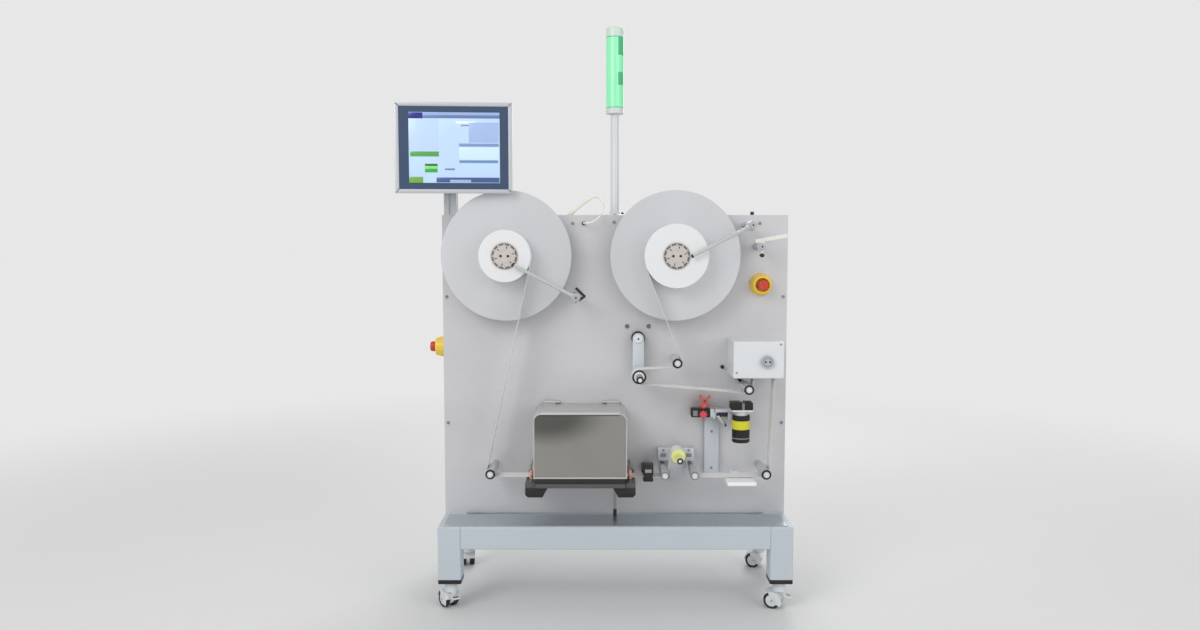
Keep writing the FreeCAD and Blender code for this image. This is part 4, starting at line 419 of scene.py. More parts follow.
for corner, degrees in CASTER_TURNS.items():
    node = "caster_" + corner
    x = LEG_X if corner.endswith("right") else -LEG_X
    y = FRONT_LEG_Y if corner.startswith("front") else REAR_LEG_Y
    placing = Matrix.Translation((x, y, 0)) @ Matrix.Rotation(math.radians(degrees), 4, "Z")
    wheel_side = WEB_HALF + WHEEL_SIDE + WHEEL_WIDTH
    hood_half = wheel_side + FENDER_GAP + FENDER
    axle = (TRAIL, WHEEL_RADIUS)
    bm = bmesh.new()
    shell = arc(axle, HOOD_OUTER, *HOOD_ARC, 28) + arc(axle, HOOD_INNER, *HOOD_ARC[::-1], 28)
    add(bm, slab(shell, -hood_half, hood_half, 0.8), 0, placing)
    web = arc(axle, HOOD_INNER + 1, 0, 180, 28) + [(-4.0, 18.0), (8.0, 9.0), (32.0, 9.0), (44.0, 18.0)]
    add(bm, slab(web, -WEB_HALF, WEB_HALF, 0.6), 0, placing)
    fender = arc(axle, HOOD_OUTER, *FENDER_ARC, 28) + arc(axle, FENDER_INNER, *FENDER_ARC[::-1], 20)
    for side in (-1, 1):
        near, far = sorted((side * (wheel_side + FENDER_GAP), side * hood_half))
        add(bm, slab(fender, near, far, 0.5), 0, placing)
    add(bm, rod_z((0, 0), NECK_BOTTOM + 4, NECK_TOP, NECK_RADIUS, 2.5, 40), 0, placing)
    add(bm, rod_z((0, 0), NECK_TOP - 1, NECK_TOP + 2, 2 * STEM_RADIUS, 0.5), 1, placing)
    add(bm, rod_z((0, 0), NECK_TOP, NECK_TOP + 34, STEM_RADIUS, 0.5), 1, placing)
    if corner.startswith("front"):
        px, pz = PEDAL_PIN
        half = WEB_HALF - 0.2
        add(bm, block((px - 5, -half, pz - 5), (px + 16, half, pz + 18), 1.5), 0, placing)
    piece("caster_hood_" + corner, bm, (caster_white, bright_steel), node, (node,))

    bm = bmesh.new()
    for side in (-1, 1):
        near = side * (WEB_HALF + WHEEL_SIDE)
        start = (TRAIL, near, WHEEL_RADIUS)
        tyre = eased([(0, TYRE_BORE), (0, WHEEL_RADIUS), (WHEEL_WIDTH, WHEEL_RADIUS),
                      (WHEEL_WIDTH, WHEEL_RADIUS - TREAD), (WHEEL_WIDTH - 2, WHEEL_RADIUS - TREAD - 1),
                      (WHEEL_WIDTH - 3, TYRE_BORE)], 1.8, closed=True)
        add(bm, turned(start, (0, side, 0), tyre, closed=True), 0, placing)
        face = eased([(WHEEL_WIDTH - 6, 0), (WHEEL_WIDTH - 6, HUB_CAP), (WHEEL_WIDTH - 1.5, HUB_CAP - 0.5),
                      (WHEEL_WIDTH - 0.8, 9), (WHEEL_WIDTH - 0.2, 8), (WHEEL_WIDTH - 0.2, 0)], 0.7)
        add(bm, turned(start, (0, side, 0), face), 1, placing)
        pin = near + side * (WHEEL_WIDTH - 1)
        add(bm, rod_y(axle, pin, near + side * WHEEL_WIDTH, 4.5, 0.4), 2, placing)
    add(bm, rod_y(axle, -8, 8, 4.0, 0.3), 2, placing)
    wheels = "wheels_" + corner
    piece("twin_" + wheels, bm, (tread_black, caster_white, bright_steel), wheels, (wheels,))

    if corner.startswith("front"):
        bm = bmesh.new()
        px, pz = PEDAL_PIN
        outer = WEB_HALF + WHEEL_SIDE + 5
        add(bm, block((px - PEDAL_LENGTH, -outer, pz - 5), (px - 7, outer, pz + 0.4), 1.6), 0, placing)
        for step in range(4):
            rib = px - PEDAL_LENGTH + 2.4 + step * 3.0
            add(bm, block((rib, -outer + 2, pz), (rib + 1.2, outer - 2, pz + 1.0), 0.4), 1, placing)
        for y0 in (-outer, outer - 5):
            add(bm, block((px - 8.5, y0, pz - 5), (px + 4, y0 + 5, pz + 5), 1.2), 0, placing)
        add(bm, rod_y((px, pz), -outer - 0.3, outer + 0.3, 2.5, 0.3), 2, placing)
        pedal = "pedal_" + corner
        piece("brake_" + pedal, bm, (caster_white, black_plastic, bright_steel), pedal,
              (pedal,))

# Faceplate and cabinet
# The faceplate is one thick aluminium plate, ground and clear anodised. The cabinet behind it is folded
# sheet steel in pale powder coat, closed by two doors on lift-off hinges with a turning handle.

# The plate's soft, horizontally stretched clouding is painted shading; its fine streaks are the grinding.
plate_aluminium = finish("ground aluminium plate", (207, 207, 210), rough=0.40, metal=0.28, grain=500,
                         run=(0.03, 1, 1), shade=0.025, relief=0.03, cloud=0.07, cloud_size=3.0,
                         drift=(0.5, 1, 1.6))
cabinet_paint = finish("cabinet powder coat", (196, 199, 201), rough=0.45, grain=1500, shade=0.03,
                       relief=0.10)
door_paint = finish("door powder coat", (199, 202, 204), rough=0.45, grain=1500, shade=0.03, relief=0.10)
dress("faceplate", plate_aluminium)
dress("cabinet_panels", cabinet_paint)
dress("door_left", door_paint)
dress("door_right", door_paint)

low, high = span("door_handle")
handle_x = (low.x + high.x) / 2
handle_z = high.z - 12
bm = bmesh.new()
add(bm, rod_y((handle_x, handle_z), low.y + 6.3, high.y - 12, 12.0, 1.0))
add(bm, rod_y((handle_x, handle_z), low.y, low.y + 8, 6.0, 0.5), 1)
grip = [(handle_x - 8, handle_z + 6), (handle_x - 6, low.z + 6), (handle_x - 3, low.z),
        (handle_x + 3, low.z), (handle_x + 6, low.z + 6), (handle_x + 8, handle_z + 6),
        (handle_x + 4, high.z), (handle_x - 4, high.z)]
add(bm, slab(grip, high.y - 12, high.y, 2.2))
add(bm, ring_y((handle_x, handle_z), high.y - 0.6, high.y, 2.5, 4.2, 0.2), 1)
piece("door_lever", bm, (black_plastic, bright_steel), "door_handle", ("door_handle",))

# Screws, glands and hinges
# Button-head hexagon screws hold the faceplate to the cabinet, and two low stops limit the dancer. Glands
# in the roof and in the faceplate take the tower's cable, and the door hinges are screwed to the sides.

PLATE_RIGHT = 540.0
PLATE_TOP = 1207.0
ROOF = 1204.0
SCREW_RADIUS = 5.0
SCREW_HEAD = 4.0
SIDE_SCREWS = [(12.0, 255.0), (12.0, 655.0)]
TOP_SCREWS = [(-132.0, 26.0), (-3.0, 22.0), (452.0, 26.0)]
SCREW_STEEL = (150, 153, 156)
DANCER_STOPS = (38.0, 106.0)
STOP_RISE = 859.0
CABLE_HOLE = (-98.0, 1181.0)
ENTRY_RADIUS = 6.0
ROOF_GLAND = (-143.0, 50.0)
GLAND_MOUTH = (-129.0, 49.0, 1221.2)
PLATE_KNOB = (338.0, 731.0)
ROOF_KNOB = (431.0, 24.0)
KNOB_RADIUS = 6.0
KNOB_LENGTH = 14.0
HINGE_X = 541.0
CABINET_HALF = 537.0
HINGE_HEIGHTS = (388.0, 1078.0)
HINGE_Y = (238.0, 285.0)
HINGE_HALF = 30.0
HEAD_NARROWING = 0.82
SOCKET_SHARE = 0.46


def open_tree(title, **inputs):
    """Starts a node tree that has these inputs and hands out a mesh."""
    tree = bpy.data.node_groups.new(title, "GeometryNodeTree")
    sockets = {}
    for name, kind in inputs.items():
        made = tree.interface.new_socket(name, in_out="INPUT", socket_type="NodeSocket" + kind)
        sockets[name] = made.identifier
    tree.interface.new_socket("shape", in_out="OUTPUT", socket_type="NodeSocketGeometry")
    return tree, sockets, new_node(tree, "NodeGroupInput").outputs


def close_tree(tree, start, **spread):
    """Stands the shape on each point and gives the whole its finish."""
    inputs = {key.capitalize(): value for key, value in spread.items()}
    stood = new_node(tree, "GeometryNodeInstanceOnPoints", inputs)
    whole = new_node(tree, "GeometryNodeRealizeInstances", {"Geometry": stood})
    coat = new_node(tree, "GeometryNodeSetMaterial", {"Geometry": whole, "Material": start["finish"]})
    new_node(tree, "NodeGroupOutput", {"shape": coat})


def screw_tree():
    """Puts a screw head with a hexagon socket on each point, turned to face one way."""
    tree, sockets, start = open_tree("screw heads", places="Geometry", radius="Float", height="Float",
                                     facing="Vector", finish="Material")
    radius = start["radius"]
    height = start["height"]
    narrow = math_node(tree, "MULTIPLY", radius, HEAD_NARROWING)
    cone = {"Vertices": 32, "Radius Top": narrow, "Radius Bottom": radius, "Depth": height}
    head = new_node(tree, "GeometryNodeMeshCone", cone)
    across = math_node(tree, "MULTIPLY", radius, SOCKET_SHARE)
    socket = new_node(tree, "GeometryNodeMeshCylinder", {"Vertices": 6, "Radius": across, "Depth": height})
    rise = new_node(tree, "ShaderNodeCombineXYZ", {"Z": height})
    lifted = new_node(tree, "GeometryNodeTransform", {"Geometry": socket, "Translation": rise})
    carve = new_node(tree, "GeometryNodeMeshBoolean", {"Mesh 1": head, "Mesh 2": lifted},
                     operation="DIFFERENCE")
    turn = new_node(tree, "FunctionNodeAlignRotationToVector", {"Vector": start["facing"]}, axis="Z")
    close_tree(tree, start, points=start["places"], instance=carve, rotation=turn)
    return tree, sockets


def grown(maker, points=(), **values):
    """Runs a node tree over some points and hands back its plain mesh."""
    tree, sockets = maker
    mesh = bpy.data.meshes.new("seed")
    mesh.from_pydata(list(points), [], [])
    holder = bpy.data.objects.new("seed", mesh)
    bpy.context.scene.collection.objects.link(holder)
    growth = holder.modifiers.new("maker", "NODES")
    growth.node_group = tree
    for name, value in values.items():
        growth[sockets[name]] = value
    shaped = bpy.data.meshes.new_from_object(holder.evaluated_get(bpy.context.evaluated_depsgraph_get()))
    holder.modifiers.remove(growth)
    bpy.data.objects.remove(holder)
    return shaped


def grown_part(maker, **values):
    """The same, as a part to add to a piece."""
    shaped = grown(maker, **values)
    part = bmesh.new()
    part.from_mesh(shaped)
    bpy.data.meshes.remove(shaped)
    return part


SCREWS = screw_tree()


def screws(name, places, facing, radius, height, made, body, stands_for=()):
    """Screw heads that stand on a face at places given in millimetres."""
    points = [Vector(place) * MM for place in places]
    shaped = grown(SCREWS, points, radius=radius * MM, height=height * MM, facing=facing, finish=made)
    shaped.name = name
    placed(name, shaped, body, stands_for)


screw_steel = finish("screw steel", SCREW_STEEL, rough=0.32, metal=0.8, grain=1200, shade=0.08)
front_screws = [(side * (PLATE_RIGHT - inset), 0, PLATE_TOP - drop)
                for side in (-1, 1) for inset, drop in SIDE_SCREWS]
front_screws += [(x, 0, PLATE_TOP - drop) for x, drop in TOP_SCREWS]
screws("faceplate_screws", front_screws, (0.0, -1.0, 0.0), SCREW_RADIUS, SCREW_HEAD, screw_steel, "machine",
       ("cabinet_fittings",))

bm = bmesh.new()
for x in DANCER_STOPS:
    place = (x, -SCREW_HEAD, STOP_RISE)
    add(bm, rod((x, 0, STOP_RISE), place, SCREW_RADIUS + 2, 1.2))
    add(bm, ring(place, (x, -SCREW_HEAD - 0.3, STOP_RISE), 2.6, 4.4, 0.1), 1)
hole = (CABLE_HOLE[0], 0, CABLE_HOLE[1])
add(bm, rod(hole, (hole[0], -3, hole[2]), ENTRY_RADIUS, 0.4, 6), 1)
add(bm, rod_y((hole[0], hole[2]), -3, -8, ENTRY_RADIUS - 0.6, 1.2), 1)
x, y = ROOF_GLAND
add(bm, rod_z((x, y), ROOF, ROOF + 4.5, 9.0, 0.8, 6), 2)
add(bm, rod_z((x, y), ROOF + 4.5, ROOF + 8, 8.0, 1.2), 2)
add(bm, rod((x, y, ROOF + 6), GLAND_MOUTH, 7.0, 1.6), 2)
for place, way in (((PLATE_KNOB[0], 0, PLATE_KNOB[1]), Vector((0, -1, 0))),
                   ((ROOF_KNOB[0], ROOF_KNOB[1], ROOF), Vector((0, 0, 1)))):
    place = Vector(place)
    add(bm, rod(place, place + way * 5, KNOB_RADIUS - 2.5, 0.3), 0)
    add(bm, rod(place + way * 4, place + way * KNOB_LENGTH, KNOB_RADIUS, 1.4, 10), 1)
for side in (-1, 1):
    pin_x = side * HINGE_X
    near, far = sorted((side * CABINET_HALF, pin_x))
    for z in HINGE_HEIGHTS:
        base = z - HINGE_HALF - 0.3
        pin = (pin_x, HINGE_Y[1])
        add(bm, block((near, HINGE_Y[0], base), (far, HINGE_Y[1], base + HINGE_HALF), 0.5))
        add(bm, rod_z(pin, base, base + HINGE_HALF, 5.0, 0.8))
        add(bm, rod_z(pin, base + 20, z + HINGE_HALF, 3.0, 0.4))
gland_white = finish("pale gland nylon", (226, 227, 214), rough=0.45, grain=1700, shade=0.05)
piece("roof_and_door_fittings", bm, (screw_steel, black_plastic, gland_white), "machine",
      ("cabinet_fittings",))

# Reels
# Each reel is a spun aluminium disc with a turned hub in front and a boss and shaft behind. The web is
# wound on a thin core that slides over the hub, whose slotted face takes the key that spreads it.

REELS = {"supply": (184.0, 1081.0, 97.0), "rewind": (-334.0, 1081.0, 79.0)}
DISC_RADIUS = 200.0
DISC_FRONT = -66.0
DISC_BACK = -60.0
HUB_RADIUS = 38.0
HUB_FACE = -128.0
HUB_SLOTS = 12
HUB_HOLES = 6
HUB_HOLE_CIRCLE = 26.5
HUB_RING = (17.5, 21.0)
KEY_HOLE_SPREAD = 11.0
CORE_RADIUS = 41.0
BOSS_RADIUS = 32.0
BOSS_BACK = -12.3
REEL_SHAFT_RADIUS = 12.5
DRIVE_END = 71.7
WEB_FRONT = -123.0
WEB_BACK = -67.0


def reach_from(made, centre, stretch):
    """The distance of each point of a finish from a centre in millimetres, with each axis stretched."""
    tree = made.node_tree
    kind = "ShaderNodeVectorMath"
    middle = [part * MM for part in centre]
    offset = math_node(tree, "SUBTRACT", tree.nodes["place"].outputs["Object"], middle, kind=kind)
    squeeze = math_node(tree, "MULTIPLY", offset, stretch, kind=kind)
    return math_node(tree, "LENGTH", squeeze, kind=kind).outputs["Value"]


def ringed(name, colour, centre, **looks):
    """A finish whose grain runs in rings round an axis along Y, as turning or winding leaves it."""
    made = finish(name, colour, **looks)
    tree = made.node_tree
    reach = reach_from(made, (centre[0], 0, centre[1]), (1, 0, 1))
    rings = new_node(tree, "ShaderNodeCombineXYZ", {"X": reach})
    feed(tree, tree.nodes["grain"], {"Vector": rings})
    return made


def ring_tree():
    """Stands blocks in a ring round Z, each turned with its place."""
    tree, sockets, start = open_tree("blocks in a ring", count="Int", reach="Float", block="Vector",
                                     finish="Material")
    places = new_node(tree, "GeometryNodeMeshCircle", {"Vertices": start["count"], "Radius": start["reach"]})
    shape = new_node(tree, "GeometryNodeMeshCube", {"Size": start["block"]})
    number = new_node(tree, "GeometryNodeInputIndex")
    share = math_node(tree, "DIVIDE", number, start["count"])
    angle = math_node(tree, "MULTIPLY", share, 2 * math.pi)
    about = new_node(tree, "ShaderNodeCombineXYZ", {"Z": angle})
    turn = new_node(tree, "FunctionNodeEulerToRotation", {0: about})
    close_tree(tree, start, points=places, instance=shape, rotation=turn)
    return tree, sockets


RING = ring_tree()


def ring_of_blocks(count, reach, size, made):
    return grown_part(RING, count=count, reach=reach, block=size, finish=made)


def standing(centre, direction):
    """Turns a shape drawn round Z to stand at a place and face one way."""
    return Matrix.Translation(centre) @ Vector(direction).to_track_quat("Z", "Y").to_matrix().to_4x4()


TO_FRONT = (0.0, -1.0, 0.0)
hub_rim = finish("anodised hub rim", (122, 116, 111), rough=0.35, metal=0.5, grain=1400, shade=0.10)
# Dark patches of this finish are painted shade: in holes, slots, sockets, grooves and vents, and under the
# hood's rim.
painted_recess_shade = finish("painted shade in holes and recesses", (30, 28, 28), rough=0.7, grain=1400, shade=0.2)
for name, (x, z, roll_radius) in REELS.items():
    body = name + "_reel"
    # The disc's soft vertical bands of clouding are a painted reflection.
    spun = ringed(name + " spun disc", (214, 216, 219), (x, z), rough=0.30, metal=0.35, grain=420,
                  shade=0.02, relief=0.05, cloud=0.13, cloud_size=4.5, drift=(1.0, 1, 0.12))
    bm = bmesh.new()
    add(bm, ring_y((x, z), DISC_BACK, DISC_FRONT, REEL_SHAFT_RADIUS + 0.05, DISC_RADIUS, 1.2, 192))
    piece(name + "_back_disc", bm, (spun,), body, (name + "_disc",))

    turned_face = ringed(name + " hub face", (207, 201, 197), (x, z), rough=0.35, metal=0.35, grain=900,
                         shade=0.05, relief=0.08)
    bm = bmesh.new()
    add(bm, ring_y((x, z), DISC_FRONT, HUB_FACE, HUB_RADIUS - 4.5, HUB_RADIUS, 0.8, 72), 1)
    add(bm, rod_y((x, z), DISC_FRONT, HUB_FACE + 1.2, HUB_RADIUS - 4.6, 0.8, 72))
    add(bm, ring_y((x, z), HUB_FACE + 1.4, HUB_FACE + 0.2, *HUB_RING, 0.4, 60))
    add(bm, ring_of_blocks(HUB_SLOTS, HUB_RADIUS - 3.6, (5.6, 5.0, 3.0), turned_face), 0,
        standing((x, HUB_FACE + 1.0, z), TO_FRONT))
    # The six dark bars and two dark discs on the hub's face are painted shade in its slots and key holes.
    add(bm, ring_of_blocks(HUB_HOLES, HUB_HOLE_CIRCLE, (6.5, 2.4, 1.0), painted_recess_shade), 2,
        standing((x, HUB_FACE + 0.9, z), TO_FRONT) @ Matrix.Rotation(math.radians(15), 4, "Z"))
    for side in (-1, 1):
        place = Vector((x + side * KEY_HOLE_SPREAD, HUB_FACE + 1.4, z))
        add(bm, rod(place, place + Vector((0, -0.5, 0)), 4.0, 0.1, 24), 2)
        add(bm, ring(place, place + Vector((0, -1.0, 0)), 4.0, 5.2, 0.3, 24))
    add(bm, rod_y((x, z), DISC_BACK, BOSS_BACK, BOSS_RADIUS, 1.0))
    add(bm, rod_y((x, z), DISC_BACK - 1, DRIVE_END, REEL_SHAFT_RADIUS, 0.8), 3)
    piece(name + "_turned_hub", bm, (turned_face, hub_rim, painted_recess_shade, bright_steel), body,
          (name + "_hub",))

    wound = ringed(name + " wound labels", (228, 229, 231), (x, z), rough=0.75, grain=1500, shade=0.035,
                   relief=0.25, cloud=0.03)
    bm = bmesh.new()
    add(bm, ring_y((x, z), WEB_BACK, WEB_FRONT, CORE_RADIUS, roll_radius, 1.2, 160))
    add(bm, ring_y((x, z), DISC_FRONT, WEB_FRONT - 1.0, HUB_RADIUS + 0.3, CORE_RADIUS, 0.4, 72), 1)
    core_board = finish(name + " core board", (214, 209, 200), rough=0.8, grain=1600, shade=0.08)
    piece(name + "_label_roll", bm, (wound, core_board), body, (name + "_roll",))

# Label web
# The printed strip is pale coated paper, half a millimetre thick with its labels, running from the supply
# reel over the rollers and under the print head to the rewind reel.

# Each roller's place and the radius of the web on it, negative where the web turns clockwise.
UNWIND_TURN = (185.0, 761.0, -15.55)
DANCER_TURN = (72.0, 714.5, 22.05)
UPPER_TURN = (400.0, 681.0, 15.55)
WEB_THICK = 0.5

web_paper = finish("coated label web", (236, 236, 233), rough=0.55, grain=2600, shade=0.025, relief=0.10)
dress("label_web", web_paper)


def tangent(first, second):
    """The ends of the straight run from one roller to the next."""
    dx, dz = second[0] - first[0], second[1] - first[1]
    length = math.hypot(dx, dz)
    sine = (first[2] - second[2]) / length
    cosine = math.sqrt(1 - sine * sine)
    tx = (dx * cosine - dz * sine) / length
    tz = (dz * cosine + dx * sine) / length
    return [(x + radius * tz, z - radius * tx) for x, z, radius in (first, second)]


def taut_span(name, fixed, moving):
    """A straight run of web between a fixed roller and the dancer roller, where the arm stands at rest."""
    middle = [(one + other) / 2 for one, other in zip(fixed, moving)]
    place = Matrix.Translation((middle[0], (WEB_BACK + WEB_FRONT) / 2, middle[1]))
    turn = Matrix.Rotation(-math.atan2(moving[1] - fixed[1], moving[0] - fixed[0]), 4, "Y")
    size = Matrix.Diagonal((math.dist(fixed, moving), WEB_BACK - WEB_FRONT, WEB_THICK, 1))
    bm = bmesh.new()
    bmesh.ops.create_cube(bm, size=1, matrix=Matrix.Scale(MM, 4) @ place @ turn @ size)
    mesh = bpy.data.meshes.new(name)
    bm.to_mesh(mesh)
    bm.free()
    mesh.materials.append(web_paper)
    run = bpy.data.objects.new(name, mesh)
    bpy.context.scene.collection.objects.link(run)
    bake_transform(run)
    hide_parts("dancer_web")


taut_span("dancer_web_in", *tangent(UNWIND_TURN, DANCER_TURN))
taut_span("dancer_web_out", *reversed(tangent(DANCER_TURN, UPPER_TURN)))

# Rollers and fixed shafts
# Aluminium rollers turn on steel pins that are screwed into the faceplate. A black ring closes the front
# of the larger ones, and a collar on the pin's end keeps each roller on.

ROLLERS = {"unwind_idler": (185.0, 761.0, 15.0), "upper_idler": (400.0, 681.0, 15.0),
           "infeed_idler": (455.0, 423.0, 15.0), "outfeed_idler": (-378.0, 424.0, 15.0),
           "guide_roller_left": (149.0, 419.5, 13.0), "guide_roller_right": (239.0, 419.5, 13.0)}
GREY_RINGED = ("guide_roller_left", "guide_roller_right")
ROLLER_BACK = -58.3
ROLLER_FRONT = -160.0
PIN_RADIUS = 6.0
SPACER_RADIUS = 10.0
COLLAR_RADIUS = 9.0
FLANGE_RADIUS = 45.0
FLANGE_FRONT = -12.0
KEEPER_POSTS = ((-119.0, 957.0, 140.0, 20.0), (407.0, 1173.0, 140.0, 20.0), (442.0, 1109.0, 100.0, 12.0))
KNUCKLES = (((-185.7, -173.7), -226.0), ((-38.3, -26.3), 14.0))
HOOD_HINGE = (-10.0, 619.5)
STRAP = [(370, 711), (382, 711), (406, 681), (394, 681)]
FLANGE_SCREW_CIRCLE = 37.0

roller_metal = finish("roller aluminium", (204, 206, 208), rough=0.30, metal=0.5, grain=700,
                      run=(1, 0.05, 1), shade=0.03)
ring_grey = finish("grey end ring", (142, 143, 146), rough=0.45, metal=0.3, grain=1500, shade=0.08)
pale_collar = finish("pale collar", (224, 224, 226), rough=0.35, metal=0.2, grain=1200, shade=0.03)
for node, (x, z, radius) in ROLLERS.items():
    bm = bmesh.new()
    add(bm, ring_y((x, z), ROLLER_BACK, ROLLER_FRONT + 3, PIN_RADIUS + 0.05, radius, 0.8, 64))
    add(bm, ring_y((x, z), ROLLER_BACK - 4, ROLLER_BACK - 6, radius - 1, radius + 0.02, 0.1, 64), 2)
    add(bm, ring_y((x, z), ROLLER_FRONT + 3, ROLLER_FRONT, COLLAR_RADIUS + 0.6, radius, 0.7, 64), 1)
    cap = ring_grey if node in GREY_RINGED else black_plastic
    piece(node + "_tube", bm, (roller_metal, cap, ring_grey), node, (node,))

bm = bmesh.new()
for x, z, radius in ROLLERS.values():
    add(bm, rod_y((x, z), 0, ROLLER_BACK + 0.3, SPACER_RADIUS, 0.8))
    add(bm, rod_y((x, z), ROLLER_BACK, ROLLER_FRONT - 8.3, PIN_RADIUS, 0.8), 1)
    add(bm, ring_y((x, z), ROLLER_FRONT - 0.3, ROLLER_FRONT - 4.3, PIN_RADIUS - 0.1, COLLAR_RADIUS, 0.7), 1)
add(bm, slab(STRAP, -24, -18, 0.5), 2)
piece("roller_pins", bm, (bright_steel, pale_collar, black_plastic), "machine",
      ("fixed_shafts",))

bm = bmesh.new()
for x, z, radius in REELS.values():
    add(bm, ring_y((x, z), 0, FLANGE_FRONT, REEL_SHAFT_RADIUS + 0.05, FLANGE_RADIUS, 1.0, 72))
    for step in range(4):
        angle = math.radians(45 + 90 * step)
        head = Vector((x + FLANGE_SCREW_CIRCLE * math.cos(angle), FLANGE_FRONT + 0.5,
                       z + FLANGE_SCREW_CIRCLE * math.sin(angle)))
        add(bm, rod(head, head + Vector((0, -1.6, 0)), 3.4, 0.5, 24))
for x, z, plane, length in KEEPER_POSTS:
    front = -plane - length / 2
    back = -plane + length / 2 + 0.3
    add(bm, rod_y((x, z), 0, -10, 12.0, 1.0))
    add(bm, rod_y((x, z), -9, back, 10.0, 0.8))
    add(bm, rod_y((x, z), back + 1, front - 0.3, 7.0, 0.5))
    add(bm, rod_y((x, z), front - 0.3, front - 6.0, 10.0, 1.2))
    # The dark hexagon on each post's end is painted shade in its socket.
    add(bm, rod_y((x, z), front - 5.8, front - 6.05, 3.2, 0.05, 6), 1)
y, z = HOOD_HINGE
for eye, pin_end in KNUCKLES:
    add(bm, block((eye[0], y, z - 5), (eye[1], 0, z + 5), 0.8))
    add(bm, rod((eye[0], y, z), (eye[1], y, z), 5.0, 0.5))
    add(bm, rod((sum(eye) / 2, y, z), (pin_end, y, z), 3.0, 0.5))
piece("flanges_and_posts", bm, (bright_steel, painted_recess_shade), "machine", ("fixed_shafts",))

# Dancer
# A pale machined arm swings on a black bearing housing and carries the roller that keeps the web taut.
# Its roller has a black end ring, and the pin ends in a long bright nose with a black ring of its own.

DANCER = (72.0, 823.0)
DANCER_ROLLER = (72.0, 714.5)
ARM_HALF = 17.5
ARM_FRONT = -42.3
ARM_BACK = -30.3
HOUSING_RADIUS = 21.0
CAP_RADIUS = 13.0
DANCER_RADIUS = 21.5
NOSE_RADIUS = 11.0
NOSE_END = -190.0
PIVOT_RADIUS = 10.0
PIVOT_BACK = 20.0
DANCER_PIN = 8.0
WRAP_START = 94.4
WRAP_END = 265.3
WEB_GAP = 0.3

arm_paint = finish("pale arm paint", (205, 213, 219), rough=0.35, metal=0.1, grain=1500, shade=0.02,
                   relief=0.08)
white_plastic = finish("white moulded plastic", (226, 227, 228), rough=0.40, grain=1800, shade=0.02)
x, z = DANCER
bm = bmesh.new()
add(bm, ring_y((x, z), 0, ARM_BACK + 0.3, PIVOT_RADIUS + 0.05, HOUSING_RADIUS, 1.2, 64))
piece("dancer_housing", bm, (black_plastic,), "machine", ("fixed_shafts",))

bm = bmesh.new()
outline = arc(DANCER, ARM_HALF, 0, 180, 24) + arc(DANCER_ROLLER, ARM_HALF, 180, 360, 24)
add(bm, slab(outline, ARM_FRONT, ARM_BACK, 1.2))
add(bm, rod_y((x, z), ARM_FRONT, ARM_FRONT - 5.0, CAP_RADIUS, 1.4, 48), 1)
add(bm, rod_y((x, z), ARM_FRONT - 4.6, ARM_FRONT - 5.2, 3.4, 0.1, 6), 3)
add(bm, rod_y((x, z), ARM_BACK - 1, PIVOT_BACK, PIVOT_RADIUS, 0.6), 2)
add(bm, ring_y((x, z), 12.3, PIVOT_BACK, PIVOT_RADIUS - 0.5, 16.0, 0.8), 2)
x, z = DANCER_ROLLER
add(bm, rod_y((x, z), ARM_FRONT + 1, -58.0, 11.0, 0.6), 2)
add(bm, rod_y((x, z), ARM_FRONT, WEB_FRONT - 1, DANCER_PIN, 0.6), 2)
add(bm, rod_y((x, z), WEB_FRONT - WEB_GAP, NOSE_END + 3, NOSE_RADIUS, 0.8, 48), 2)
add(bm, ring_y((x, z), NOSE_END + 3, NOSE_END, 6.0, NOSE_RADIUS, 0.7, 48), 3)
add(bm, rod_y((x, z), NOSE_END + 3.2, NOSE_END + 0.8, 6.0, 0.3), 1)
inner = DANCER_RADIUS + WEB_GAP
wrap = arc(DANCER_ROLLER, inner + WEB_THICK, WRAP_START, WRAP_END, 40)
wrap += arc(DANCER_ROLLER, inner, WRAP_END, WRAP_START, 40)
add(bm, slab(wrap, WEB_FRONT, WEB_BACK, 0), 4)
piece("dancer_lever", bm, (arm_paint, white_plastic, bright_steel, black_plastic, web_paper), "dancer_arm",
      ("dancer_arm",))

bm = bmesh.new()
add(bm, ring_y((x, z), ROLLER_BACK, WEB_FRONT + 2.5, DANCER_PIN + 0.05, DANCER_RADIUS, 0.8, 72))
add(bm, ring_y((x, z), WEB_FRONT + 2.5, WEB_FRONT, 16.0, DANCER_RADIUS, 0.9, 72), 1)
add(bm, ring_y((x, z), WEB_FRONT + 2.5, WEB_FRONT + 0.6, DANCER_PIN + 0.05, 15.9, 0.3, 72))
piece("dancer_roller_tube", bm, (white_plastic, black_plastic), "dancer_roller",
      ("dancer_roller",))

# Capstan
# A steel shaft covered with yellow-green polyurethane pulls the web past the print head. It runs in a pale
# bearing block that stands on the faceplate between the two guide rollers.

CAPSTAN = (192.0, 471.0)
CAPSTAN_RADIUS = 21.5
CAPSTAN_SHAFT = 9.5
CAPSTAN_BACK = -58.0
BEARING_RADIUS = 17.5
BLOCK_LOW = (134.5, 436.0)
BLOCK_HIGH = (249.5, 477.0)
FOOT_LOW = (172.0, 375.0)
FOOT_HIGH = (212.0, 437.0)
BLOCK_FRONT = -32.0
SLOT_SPREAD = 40.0

